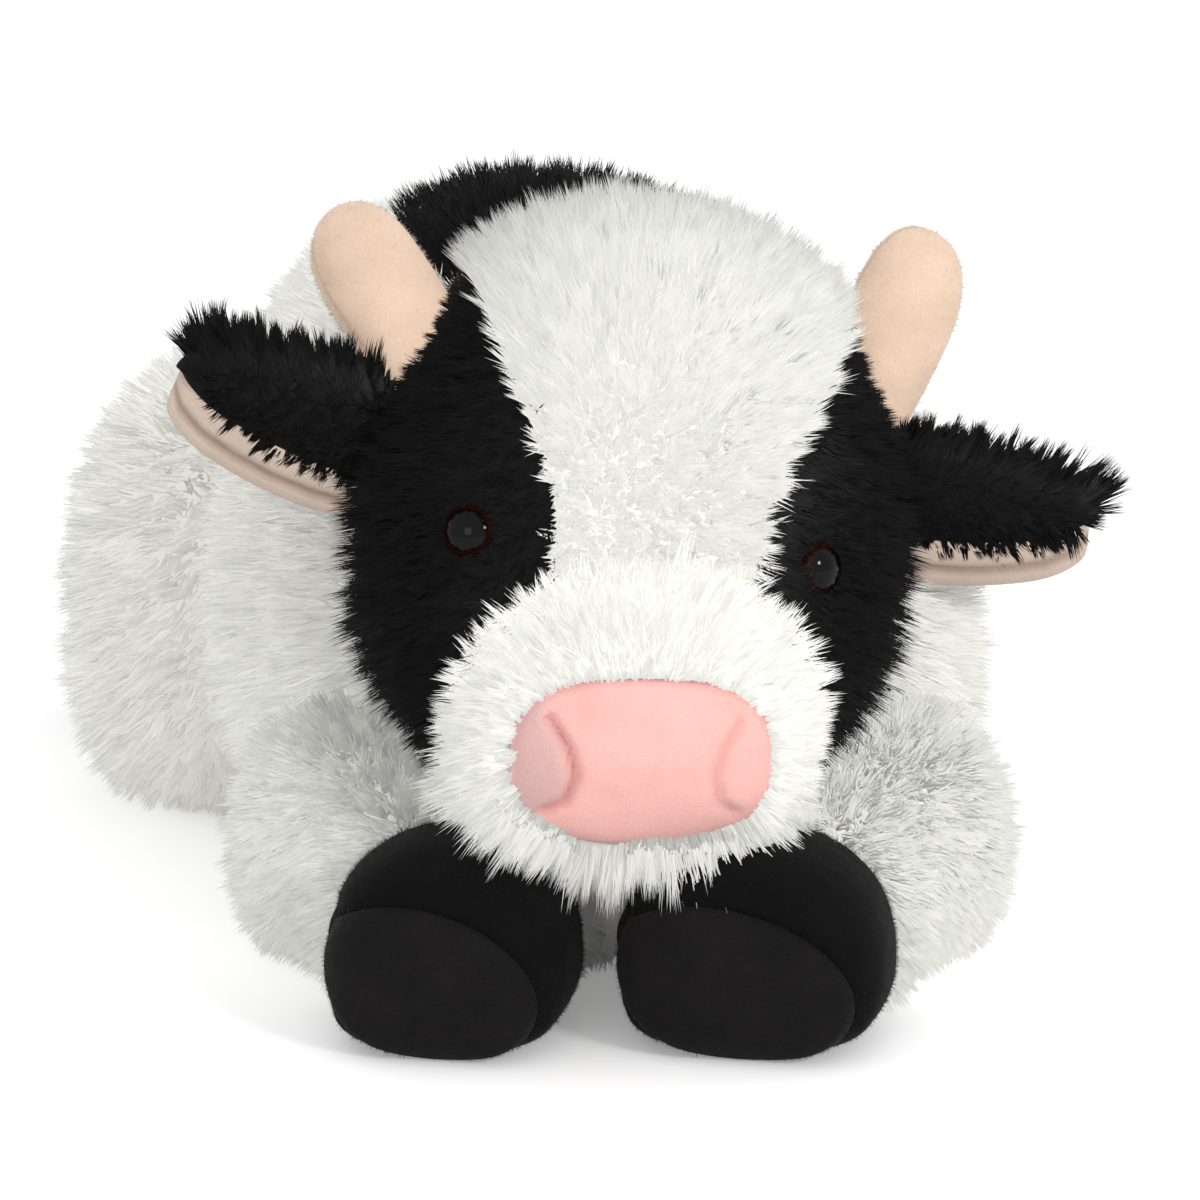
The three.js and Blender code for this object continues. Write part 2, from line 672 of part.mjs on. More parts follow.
// Eyes
for (const { name, frame } of eyes) {
  const arc = Array.from({ length: domeRows }, (_, i) => {
    const turn = (quarterTurn * i) / domeRows;
    return new THREE.Vector2(eye.radius * Math.cos(turn), eye.height * Math.sin(turn));
  });
  const foot = new THREE.Vector2(0, -eye.height);
  const rim = new THREE.Vector2(eye.radius, -eye.height);
  const top = new THREE.Vector2(0, eye.height);
  const dome = new THREE.LatheGeometry([foot, rim, ...arc, top], smallAround);
  const headHere = placed(shrunk(headForm, -seam), frame.matrix.clone().invert());
  const seated = solid(dome).subtract(solid(headHere));
  const shank = solid(shankPeg(eye.shank, eye.shankLength, -eye.height / 2, smallAround));
  add(frame, name + "_eye", seated.add(shank), "eyePlastic");

  const disc = solid(shankPeg(washer.radius, washerBottom, washerTop, legAround));
  const bore = solid(shankPeg(eye.shank + seam, washerBottom + seam, washerTop - seam));
  add(frame, name + "_eye_washer", disc.subtract(bore), "washerPlastic");
}

// Horns
for (const [side, name, set] of [
  [right, "right_horn", rightHorn],
  [left, "left_horn", leftHorn],
]) {
  const lean = new THREE.Euler(-radians(set.backDegrees), side * radians(set.outDegrees), 0);
  const frame = frameAt(headFrame, side * hornSeat.x, hornSeat.y, hornSeat.z, lean);
  const profile = hornShares.map(([place, width]) => {
    return new THREE.Vector2(horn.radius * width, horn.length * place - horn.sunk);
  });
  const foot = new THREE.Vector2(0, -horn.sunk);
  const tip = new THREE.Vector2(0, horn.length - horn.sunk);
  const made = new THREE.LatheGeometry([foot, ...profile, tip], legAround).rotateX(quarterTurn);
  made.scale(1, hornFlatShare, 1);
  const { position } = made.attributes;
  for (let i = 0; i < position.count; i++) {
    const along = position.getZ(i) / horn.length;
    position.setX(i, position.getX(i) - side * horn.curve * along * along);
  }
  const headHere = placed(shrunk(headForm, -seam), frame.matrix.clone().invert());
  add(frame, name, solid(made).subtract(solid(headHere)), "beigeVelour");
}

// A form of the ear, inset from its outside, lofted along -Y and then turned to point outwards.
function earForm(side, inset, top, bottom) {
  const rootTurns = rootTurnShares.map((share) => share * quarterTurn);
  const rows = [
    ...rootTurns.map((turn) => [-ear.root * Math.cos(turn), ear.root * Math.sin(turn), Math.sin(turn)]),
    ...earShares.map(([place, height, depth]) => [ear.length * place, ear.half * height, depth]),
  ];
  const rings = rows.map(([along, half, depth]) => {
    return ring({
      y: -along,
      z: 0,
      halfWidth: Math.max(ear.depth * depth - inset, seam),
      up: Math.max(half - top, seam),
      down: Math.max(half + bottom, seam),
      count: smallAround,
    });
  });
  const start = new THREE.Vector3(0, ear.root - inset, 0);
  const end = new THREE.Vector3(0, inset - ear.length, 0);
  return loft(rings, start, end).rotateZ(side * quarterTurn);
}

// Ears: the black back folded over, the lining inside it with its lip below the fold
for (const { side, name, frame } of ears) {
  const slot = solid(earForm(side, ear.cloth, ear.cloth, overrun));
  const back = solid(earForm(side, 0, 0, 0)).subtract(slot);
  add(frame, name + "_ear_back", back, "blackPlush");
  const inside = ear.cloth + seam;
  const [from, to] = liningShares.map((share) => share * ear.length);
  const reach = new THREE.BoxGeometry(to - from, 2 * ear.length, 2 * ear.length);
  reach.translate((side * (from + to)) / 2, 0, 0);
  const lining = solid(earForm(side, inside, inside, ear.lip)).intersect(solid(reach));
  add(frame, name + "_ear_lining", lining, "earLining");
}

// Legs
for (const { name, frame, hoofFrame, rootForm, sleeveForm } of legs) {
  const hoofHere = solid(placed(shrunk(hoofForm, -seam), hoofFrame.matrix));
  const joined = onFloor(solid(sleeveForm).add(solid(rootForm)));
  add(frame, name + "leg_sleeve", joined.subtract(hoofHere), "whitePlush");

  const layer = solid(shrunk(hoofForm, -seam)).subtract(solid(shrunk(hoofForm, cloth + seam)));
  const panelSlab = (extra) => {
    const { halfWidth, halfHeight, x, z, rollDegrees } = hoofPanel;
    const outline = ovalPoints(halfWidth + extra, halfHeight + extra, x, z, radians(rollDegrees), legAround);
    return solid(slabAlongY(outline, -hoof.length - overrun, -hoof.length / 2 + extra));
  };
  const hoofSolid = solid(hoofForm);
  const panel = hoofSolid.subtract(solid(shrunk(hoofForm, cloth))).intersect(panelSlab(0));
  add(hoofFrame, name + "_hoof_front", panel, "hoofVelour");
  const pelletsAt = new THREE.Vector3(0, hoof.back - hoof.length / 2, hoof.height / 2);
  const pelletForm = egg(pellets.halfWidth, pellets.halfLength, pellets.halfHeight, bagAround);
  pelletForm.translate(pelletsAt.x, pelletsAt.y, pelletsAt.z - pressed);
  add(hoofFrame, name + "_hoof_pellets", solid(pelletForm), "pelletBag");
  const mouth = new THREE.CylinderGeometry(pellets.mouth, pellets.mouth, hoof.length, bagAround);
  mouth.translate(0, pelletsAt.y + hoof.length / 2, pelletsAt.z);
  const boot = onFloor(hoofSolid)
    .subtract(layer.intersect(panelSlab(seam)))
    .subtract(solid(shrunk(pelletForm, -seam)))
    .subtract(solid(mouth));
  add(hoofFrame, name + "_hoof", boot, "hoofVelour");
}

// Tail: a thin sleeve that hangs from the rump and ends in a black tuft
const tailPath = new THREE.CurvePath();
const [tailRoot, tailBend, tailCorner, tailDown, tailEnd] = [
  [-tail.sunk, 0],
  [tail.back - tail.bend, 0],
  [tail.back, 0],
  [tail.back, -tail.bend],
  [tail.back, -tail.drop],
].map(([y, z]) => new THREE.Vector3(0, y, z));
tailPath.add(new THREE.LineCurve3(tailRoot, tailBend));
tailPath.add(new THREE.QuadraticBezierCurve3(tailBend, tailCorner, tailDown));
tailPath.add(new THREE.LineCurve3(tailDown, tailEnd));
const tailShape = new THREE.Shape(ovalPoints(tail.radius, tail.radius, 0, 0, 0, smallAround));
const tailTube = new THREE.ExtrudeGeometry(tailShape, { steps: tailRows, extrudePath: tailPath });
add(tailFrame, "tail", solid(tailTube), "whitePlush");
const tuftForm = egg(tail.tuft, tail.tuft, tail.tuftLength / 2, smallAround);
tuftForm.translate(0, tail.back, -tail.drop - seam - tail.tuftLength / 2);
add(tailFrame, "tail_tuft", solid(tuftForm), "blackPlush");

// The whole cow stands with the middle of its box's base at the origin
const box = new THREE.Box3().setFromObject(cow, true);
const middle = box.getCenter(new THREE.Vector3());
const toy = new THREE.Group();
toy.add(cow);
cow.position.set(-middle.x, -middle.y, -box.min.z);

export default toy;
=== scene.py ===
import json
import math

import bpy
import numpy as np
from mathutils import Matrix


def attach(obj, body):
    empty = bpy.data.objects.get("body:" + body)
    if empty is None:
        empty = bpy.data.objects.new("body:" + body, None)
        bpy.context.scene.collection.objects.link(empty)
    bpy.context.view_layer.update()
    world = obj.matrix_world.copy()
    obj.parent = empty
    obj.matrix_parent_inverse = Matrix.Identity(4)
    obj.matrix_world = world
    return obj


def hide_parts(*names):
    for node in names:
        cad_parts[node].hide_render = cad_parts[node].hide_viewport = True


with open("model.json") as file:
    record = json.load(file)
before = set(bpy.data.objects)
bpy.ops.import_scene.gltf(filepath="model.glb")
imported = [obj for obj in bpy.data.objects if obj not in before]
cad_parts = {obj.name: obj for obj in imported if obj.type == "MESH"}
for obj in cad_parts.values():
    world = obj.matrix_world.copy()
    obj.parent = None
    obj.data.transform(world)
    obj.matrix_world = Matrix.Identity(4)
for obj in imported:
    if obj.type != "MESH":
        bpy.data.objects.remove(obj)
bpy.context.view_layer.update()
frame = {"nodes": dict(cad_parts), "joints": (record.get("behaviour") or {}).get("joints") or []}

# Camera, floor and light. The toy lies on a pale floor in the soft light of a studio and is seen from in
# front and a little above. Below, lengths are in millimetres with Y 0 at the front hooves; the neck's joint,
# at the middle of the head's ball, gives the way from there to the frame.
MM = 0.001
head_x, head_y, head_z = 7, 78, 112
neck_joint = next(joint for joint in frame["joints"] if joint["name"] == "neck_turn")
shift = np.array(neck_joint["pos_m"]) / MM - [head_x, head_y, head_z]

photo_width = 1200
focal_pixels = 5814
camera_place = [0, -1203, 451]
camera_tilt = math.radians(74)

camera_data = bpy.data.cameras.new("camera")
camera_data.sensor_width = 36
camera_data.lens = camera_data.sensor_width * focal_pixels / photo_width
camera_data.clip_start = 0.05
camera_data.clip_end = 30
camera = bpy.data.objects.new("camera", camera_data)
camera.location = (np.array(camera_place) + shift) * MM
camera.rotation_euler = (camera_tilt, 0, 0)
bpy.context.scene.collection.objects.link(camera)
bpy.context.scene.camera = camera
bpy.context.scene.view_settings.view_transform = "Standard"


def new_material(name):
    """A material with nodes, and its Principled shader."""
    material = bpy.data.materials.new(name)
    material.use_nodes = True
    return material, material.node_tree.nodes["Principled BSDF"]


def feed(socket, value):
    """Links another node's output to a socket, or sets a number or colour on the socket itself."""
    if isinstance(value, bpy.types.NodeSocket):
        socket.id_data.links.new(value, socket)
    else:
        socket.default_value = value


def plug(node, **given):
    """Gives a shader node its settings, in small letters, and its inputs, with _ for each space."""
    for name, value in given.items():
        if name.islower():
            setattr(node, name, value)
        else:
            feed(node.inputs[name.replace("_", " ")], value)
    return node


def add_node(tree, kind, **given):
    """A new shader node with its settings and inputs."""
    return plug(tree.nodes.new("ShaderNode" + kind), **given)


def worked_out(tree, operation, *values):
    """What a Math node makes of numbers or of other nodes' outputs."""
    node = add_node(tree, "Math", operation=operation)
    for socket, value in zip(node.inputs, values):
        feed(socket, value)
    return node.outputs[0]


def where_seen(tree):
    """1 for the camera's own rays and for those that gloss or clear plastic sends on, and else 0: the largest
    of the three."""
    rays = add_node(tree, "LightPath").outputs
    seen = worked_out(tree, "MAXIMUM", rays["Is Camera Ray"], rays["Is Glossy Ray"])
    return worked_out(tree, "MAXIMUM", seen, rays["Is Transmission Ray"])


floor_half = 6.0
floor_colour = (0.86, 0.86, 0.86, 1)
floor_glow = 0.22
white = (1, 1, 1, 1)
floor_mesh = bpy.data.meshes.new("floor")
floor_corners = [(x * floor_half, y * floor_half, 0) for x, y in ((-1, -1), (1, -1), (1, 1), (-1, 1))]
floor_mesh.from_pydata(floor_corners, [], [(0, 1, 2, 3)])
floor = bpy.data.objects.new("floor", floor_mesh)
bpy.context.scene.collection.objects.link(floor)
floor_material, floor_shader = new_material("floor")
glow = worked_out(floor_material.node_tree, "MULTIPLY", where_seen(floor_material.node_tree), floor_glow)
plug(floor_shader, Base_Color=floor_colour, Roughness=0.9, Specular_IOR_Level=0.1)
plug(floor_shader, Emission_Color=white, Emission_Strength=glow)
floor_mesh.materials.append(floor_material)

studio_light = 0.97
world = bpy.data.worlds.new("studio")
bpy.context.scene.world = world
world.use_nodes = True
tree = world.node_tree
level = add_node(tree, "MapRange", Value=where_seen(tree), To_Min=studio_light, To_Max=1)
plug(tree.nodes["Background"], Color=white, Strength=level.outputs["Result"])


def soft_lamp(name, place, aim, size, watts):
    """A square lamp of a size at a place, turned to face a point."""
    data = bpy.data.lights.new(name, "AREA")
    data.size = size
    data.energy = watts
    lamp = bpy.data.objects.new(name, data)
    way = np.array(aim) - np.array(place)
    tilt, turn = math.acos(-way[2] / np.linalg.norm(way)), math.atan2(way[1], way[0]) - math.pi / 2
    lamp.location = place
    lamp.rotation_euler = (tilt, 0, turn)
    bpy.context.scene.collection.objects.link(lamp)


soft_lamp("key", (1.1, -1.25, 0.9), (0, 0, 0.08), 0.3, 9.5)
soft_lamp("fill", (-0.6, -1.5, 0.55), (0, 0, 0.08), 0.6, 2)
soft_lamp("top", (0.1, 0.3, 1.6), (0, 0.05, 0.08), 1.0, 2)


# Body. The plush cover of a stuffed barrel, cut from white cloth with a black patch sewn in on the back and
# a panel that closes it below. It is hollowed for the head's ball, and open where the legs are sewn in.
class Form:
    """A closed form about the Y axis, from a table of cross-sections. Each row gives y, the middle x, the
    height of the widest place, the half width, the reach up and down from there, and a roll in degrees. high
    and low say how round a section is above and below its widest place: 1 is round, less is squarer."""

    def __init__(self, rows, high=1, low=1):
        rows = np.array(rows, float)
        self.rows = np.column_stack([rows, np.broadcast_to(low, len(rows))])
        self.high = high

    def sections(self, steps):
        """Rows between the given ones, on smooth curves through them. At a pole the curve goes on as its own
        mirror image, so that the end is round. Each step is a piece of the way, from 0 to the last row."""
        rows = self.rows
        mirror = np.array([1, 1, 1, -1, -1, -1, 1, 1])
        padded = np.vstack([rows[1] * mirror, rows, rows[-2] * mirror])
        i = np.clip(steps.astype(int), 0, len(rows) - 2)
        t = (steps - i)[:, None]
        p0, p1, p2, p3 = (padded[i + k] for k in range(4))
        slope1, slope2 = (p2 - p0) / 2, (p3 - p1) / 2
        return (
            (2 * t**3 - 3 * t**2 + 1) * p1
            + (t**3 - 2 * t**2 + t) * slope1
            + (3 * t**2 - 2 * t**3) * p2
            + (t**3 - t**2) * slope2
        )

    def grid(self, per_row, around):
        """Points of the form: a superellipse at each section, rolled about its middle."""
        steps = np.linspace(0, len(self.rows) - 1, (len(self.rows) - 1) * per_row + 1)
        y, x, z, half, up, down, roll, low = self.sections(steps).T[:, :, None]
        half, up, down = (np.maximum(part, 0) for part in (half, up, down))
        turn = np.linspace(0, 2 * np.pi, around, endpoint=False)[None, :]
        power = np.where(np.sin(turn) > 0, self.high, low)
        side = np.sign(np.cos(turn)) * np.abs(np.cos(turn)) ** power * half
        rise = np.sign(np.sin(turn)) * np.abs(np.sin(turn)) ** power * np.where(np.sin(turn) > 0, up, down)
        roll = np.radians(roll)
        return np.stack(
            [
                x + side * np.cos(roll) + rise * np.sin(roll),
                y + 0 * side,
                z + rise * np.cos(roll) - side * np.sin(roll),
            ],
            axis=-1,
        )


def ring_faces(rings, around):
    """Quads between neighbouring rings, and triangles from point 0, their middle, to the first ring."""
    ring = np.arange(rings)[:, None] * around + 1
    i = np.arange(around)[None, :]
    j = (i + 1) % around
    quads = np.stack([ring[:-1] + i, ring[:-1] + j, ring[1:] + j, ring[1:] + i], -1).reshape(-1, 4)
    return quads, np.stack([0 * i, 1 + j, 1 + i], -1).reshape(-1, 3)


def closed_faces(rings, around):
    """The same with triangles at both poles: point 0 is the first pole, the last point is the other one."""
    quads, start = ring_faces(rings, around)
    last = rings * around + 1
    edge = last - around + np.arange(around)
    end = np.stack([0 * edge + last, edge, np.roll(edge, -1)], -1)
    return quads, np.vstack([start, end])


def put_mesh(name, points, quads=(), triangles=()):
    """A piece from points in millimetres and its faces, turned outwards by the sign of their volume."""
    points = np.asarray(points, float).reshape(-1, 3)
    quads = np.asarray(quads, int).reshape(-1, 4)
    triangles = np.asarray(triangles, int).reshape(-1, 3)
    halves = np.vstack([quads[:, [0, 1, 2]], quads[:, [0, 2, 3]], triangles])
    a, b, c = (points[halves[:, k]] - points.mean(axis=0) for k in range(3))
    if np.einsum("ij,ij->", a, np.cross(b, c)) < 0:
        quads, triangles = quads[:, ::-1], triangles[:, ::-1]
    mesh = bpy.data.meshes.new(name)
    mesh.vertices.add(len(points))
    mesh.vertices.foreach_set("co", ((points + shift) * MM).ravel())
    mesh.loops.add(quads.size + triangles.size)
    corners = np.concatenate([quads.ravel(), triangles.ravel()])
    mesh.loops.foreach_set("vertex_index", corners.astype(np.int32))
    sizes = np.concatenate([np.full(len(quads), 4), np.full(len(triangles), 3)])
    mesh.polygons.add(len(sizes))
    mesh.polygons.foreach_set("loop_start", (np.cumsum(sizes) - sizes).astype(np.int32))
    mesh.polygons.foreach_set("use_smooth", np.ones(len(sizes), bool))
    mesh.update(calc_edges=True)
    mesh.validate()
    piece = bpy.data.objects.new(name, mesh)
    bpy.context.scene.collection.objects.link(piece)
    return piece


def put_form(name, grid):
    """A closed piece from a grid whose first and last rings are poles."""
    quads, ends = closed_faces(len(grid) - 2, grid.shape[1])
    points = np.vstack([grid[0, :1], grid[1:-1].reshape(-1, 3), grid[-1, :1]])
    return put_mesh(name, points, quads, ends)


def skin_of(piece):
    """Points in millimetres, normals and triangles of a piece, modifiers included."""
    shown = piece.evaluated_get(bpy.context.evaluated_depsgraph_get())
    mesh = shown.to_mesh()
    mesh.calc_loop_triangles()
    corners = np.empty(len(mesh.loop_triangles) * 3, np.int32)
    mesh.loop_triangles.foreach_get("vertices", corners)
    points, normals = np.empty(len(mesh.vertices) * 3), np.empty(len(mesh.vertices) * 3)
    mesh.vertices.foreach_get("co", points)
    mesh.vertices.foreach_get("normal", normals)
    shown.to_mesh_clear()
    return points.reshape(-1, 3) / MM - shift, normals.reshape(-1, 3), corners.reshape(-1, 3)


def applied(piece, kind, **settings):
    """A modifier put on a piece and applied at once."""
    modifier = piece.modifiers.new(kind.lower(), kind)
    for key, value in settings.items():
        setattr(modifier, key, value)
    bpy.ops.object.select_all(action="DESELECT")
    piece.select_set(True)
    bpy.context.view_layer.objects.active = piece
    bpy.ops.object.modifier_apply(modifier=modifier.name)


def stuffed(piece, voxel, cap, held, pressure):
    """The skin of a cover that its filling swells: an even mesh of the form is blown up as thin, stretching
    cloth for twenty steps without gravity, held still where its seams are, and no point moves further than
    cap. The form itself is used up."""
    applied(piece, "REMESH", mode="VOXEL", voxel_size=voxel * MM)
    start = skin_of(piece)[0]
    group = piece.vertex_groups.new(name="held")
    group.add(np.flatnonzero(held(start)).tolist(), 1, "REPLACE")
    cloth = piece.modifiers.new("cloth", "CLOTH")
    cloth.settings.use_pressure = True
    cloth.settings.uniform_pressure_force = pressure
    cloth.settings.mass = 0.003
    cloth.settings.tension_stiffness = cloth.settings.compression_stiffness = 0.1
    cloth.settings.shear_stiffness = 0.05
    cloth.settings.bending_stiffness = 0.01
    cloth.settings.effector_weights.gravity = 0
    cloth.settings.vertex_group_mass = "held"
    for step in range(1, 21):
        bpy.context.scene.frame_set(step)
    move = skin_of(piece)[0] - start
    piece.modifiers.remove(cloth)
    bpy.context.scene.frame_set(1)
    far = np.linalg.norm(move, axis=1, keepdims=True)
    move *= np.minimum(1, cap / np.maximum(far, 1e-9))
    piece.data.vertices.foreach_set("co", ((start + move + shift) * MM).ravel())
    piece.data.update()
    applied(piece, "SMOOTH", factor=0.5, iterations=2)
    applied(piece, "SUBSURF", levels=1, render_levels=1)
    skin = skin_of(piece)
    bpy.data.objects.remove(piece)
    return skin


def panel(name, skin, chosen, thick=1.7):
    """The cloth of one panel: the chosen triangles of a skin, the same triangles moved inwards by the cloth's
    thickness and turned round, and a wall along every edge that only one chosen triangle has."""
    points, normals, triangles = skin
    triangles = triangles[chosen]
    edges = np.concatenate([triangles[:, [0, 1]], triangles[:, [1, 2]], triangles[:, [2, 0]]])
    key = edges.min(axis=1).astype(np.int64) * len(points) + edges.max(axis=1)
    first, count = np.unique(key, return_index=True, return_counts=True)[1:]
    rim = edges[first[count == 1]]
    kept, place = np.unique(triangles, return_inverse=True)
    number = np.zeros(len(points), int)
    number[kept] = np.arange(len(kept))
    triangles, rim, size = number[triangles], number[rim], len(kept)
    inner = points[kept] - thick * normals[kept]
    walls = np.column_stack([rim[:, 1], rim[:, 0], rim[:, 0] + size, rim[:, 1] + size])
    sides = np.vstack([triangles, triangles[:, ::-1] + size])
    return put_mesh(name, np.vstack([points[kept], inner]), walls, sides)


def middles(skin):
    """The middle of each triangle of a skin."""
    return skin[0][skin[2]].mean(axis=1)


def unit(vectors):
    """Vectors of length 1 in the same directions."""
    return vectors / np.maximum(np.linalg.norm(vectors, axis=-1, keepdims=True), 1e-12)


pressed = 0.5
body_length, body_half, body_height = 222, 82, 156
body_front, body_x, body_drift = 54, 5, -48
body_waist = 0.43
# place along the length, half width, top, bottom, sideways drift, as shares of the sizes above
body_shares = np.array(
    [
        [0.0, 0.0, 0.33, 0.33, 0.0],
        [0.03, 0.4, 0.56, 0.06, 0.0],
        [0.09, 0.68, 0.74, 0.01, 0.0],
        [0.18, 0.87, 0.8, 0.0, 0.0],
        [0.3, 0.97, 0.9, 0.0, 0.06],
        [0.42, 1.0, 0.97, 0.0, 0.16],
        [0.54, 0.95, 1.0, 0.0, 0.3],
        [0.66, 0.87, 0.975, 0.0, 0.5],
        [0.78, 0.74, 0.91, 0.0, 0.68],
        [0.88, 0.55, 0.8, 0.01, 0.84],
        [0.95, 0.37, 0.67, 0.07, 0.93],
        [0.99, 0.18, 0.53, 0.18, 0.98],
        [1.0, 0.0, 0.36, 0.36, 1.0],
    ]
)
place, width, top, bottom, drift = body_shares.T
high = body_height * top
low = body_height * bottom - pressed * (width > 0)
waist = low + (high - low) * body_waist
body_rows = np.column_stack(
    [
        body_front + body_length * place,
        body_x + body_drift * drift,
        waist,
        body_half * width,
        high - waist,
        waist - low,
        0 * place,
    ]
)
body_form = Form(body_rows, low=0.6)
joint_gap = 0.9
head_radius = 57
chin_room = 1.12 * head_radius
jowl_room = 13


def hollowed(points, gap):
    """The body's points with the hollow for the head: what lies inside the head's ball is moved back onto its
    far side, and what would lie under the chin is moved behind it. Nothing goes under the floor."""
    points = points.copy()
    off = points - [head_x, head_y, head_z]
    hollow = head_radius + gap
    across = off[..., 0] ** 2 + off[..., 2] ** 2
    inside = across + off[..., 1] ** 2 < hollow**2
    points[..., 1] = np.where(inside, head_y + np.sqrt(np.maximum(hollow**2 - across, 0)), points[..., 1])
    above_chin = (off[..., 2] > -chin_room) & (points[..., 1] < head_y + jowl_room)
    points[..., 1] = np.where(above_chin, head_y + jowl_room, points[..., 1])
    points[..., 2] = np.maximum(points[..., 2], 0)
    return points


# Each leg's root radius and height, sleeve half width, sleeve height and length; where it is sewn in, where
# it and its hoof point in degrees, how far the chin spreads the hoof, and the body that it is in the frame.
hoof_length, hoof_half, hoof_height, hoof_back = 52, 27, 45, 9
foreleg = {"root": 33, "height": 56, "half": 27, "top": 47, "wrist": 45}
hind_leg = {"root": 41, "height": 112, "half": 24, "top": 45, "wrist": 36}
foreleg_x, foreleg_y = 52, 85
hind_along, hind_out, rear_bend = 168, 64, math.radians(17)


def drift_at(y):
    """The sideways place of the spine at a place along the body."""
    return np.interp(y, body_rows[:, 0], body_rows[:, 1])


rear_y = body_front + hind_along
rear_x, out_x, out_y = drift_at(rear_y), hind_out * math.cos(rear_bend), hind_out * math.sin(rear_bend)
leg_set = {
    "right_fore": (foreleg, body_x - foreleg_x, foreleg_y, 24, -34, 1, "right_foreleg"),
    "left_fore": (foreleg, body_x + foreleg_x, foreleg_y, -24, 14, 1.1, "left_foreleg"),
    "right_hind": (hind_leg, rear_x - out_x, rear_y - out_y, 192, 0, 1, "right_hind_leg"),
    "left_hind": (hind_leg, rear_x + out_x, rear_y + out_y, 155, 0, 1, "left_hind_leg"),
}


def in_leg(points, extra):
    """True for points inside the room of a leg: its round root, and a lane for its sleeve and hoof."""
    found = np.zeros(len(points), bool)
    for size, x, y, heading, *_ in leg_set.values():
        off = points - [x, y, 0]
        flat = np.hypot(off[:, 0], off[:, 1]) / (size["root"] + extra)
        rise = (points[:, 2] + pressed - size["height"] / 2) / (size["height"] / 2 + extra)
        power = 2 / np.where(rise < 0, 0.5, 1)
        found |= flat**power + np.abs(rise) ** power < 1
        ahead = np.array([math.sin(math.radians(heading)), -math.cos(math.radians(heading))])
        along = np.clip(off[:, :2] @ ahead, 0, size["wrist"] + hoof_length - hoof_half - hoof_back)
        side = np.linalg.norm(off[:, :2] - along[:, None] * ahead, axis=1)
        found |= (side < hoof_half + extra) & (points[:, 2] < hoof_height + extra)
    return found


patch_half, patch_length, patch_from = 37, 104, 70
belly_half, belly_length, belly_from = 47, 140, 36


def oval_share(points, half, length, start):
    """How far from the middle of an oval on the spine a point lies, in the oval's own half sizes."""
    middle_y = body_front + start + length / 2
    x, y = points[..., 0] - drift_at(middle_y), points[..., 1] - middle_y
    along = y * math.cos(rear_bend / 2) - x * math.sin(rear_bend / 2)
    side = x * math.cos(rear_bend / 2) + y * math.sin(rear_bend / 2)
    return np.hypot(side / half, along / (length / 2))


def on_patch(points):
    """True on the black patch of the back."""
    return (points[:, 2] > body_height / 2) & (oval_share(points, patch_half, patch_length, patch_from) < 1)


def on_belly(points):
    """True on the panel that closes the cover below."""
    return (points[:, 2] < 2) & (oval_share(points, belly_half, belly_length, belly_from) < 1)


def near_seam(share, half, wide):
    """True within a distance of an oval's edge."""
    return np.abs(share - 1) * half < wide


body_skin = stuffed(
    put_form("body_form", body_form.grid(7, 96)),
    7,
    1.5,
    lambda p: (p[:, 2] < 3) | near_seam(oval_share(p, patch_half, patch_length, patch_from), patch_half, 4),
    8,
)
body_skin = (hollowed(body_skin[0], joint_gap), *body_skin[1:])
place = middles(body_skin)
open_for_legs = in_leg(place, joint_gap)
patch_here, belly_here = on_patch(place), on_belly(place)
body_cover = panel("body_cover_plush", body_skin, ~(open_for_legs | patch_here | belly_here))
back_patch = panel("back_patch_plush", body_skin, patch_here)
belly_panel = panel("belly_panel_plush", body_skin, belly_here & ~open_for_legs)


def nearest(points, centres):
    """The number of the nearest centre for each point, worked out in blocks."""
    points, centres = points.astype(np.float32), centres.astype(np.float32)
    found = []
    for block in np.array_split(points, max(1, len(points) * len(centres) // 8_000_000)):
        gap = (centres**2).sum(axis=1)[None, :] - 2 * block @ centres.T
        found.append(gap.argmin(axis=1))
    return np.concatenate(found)


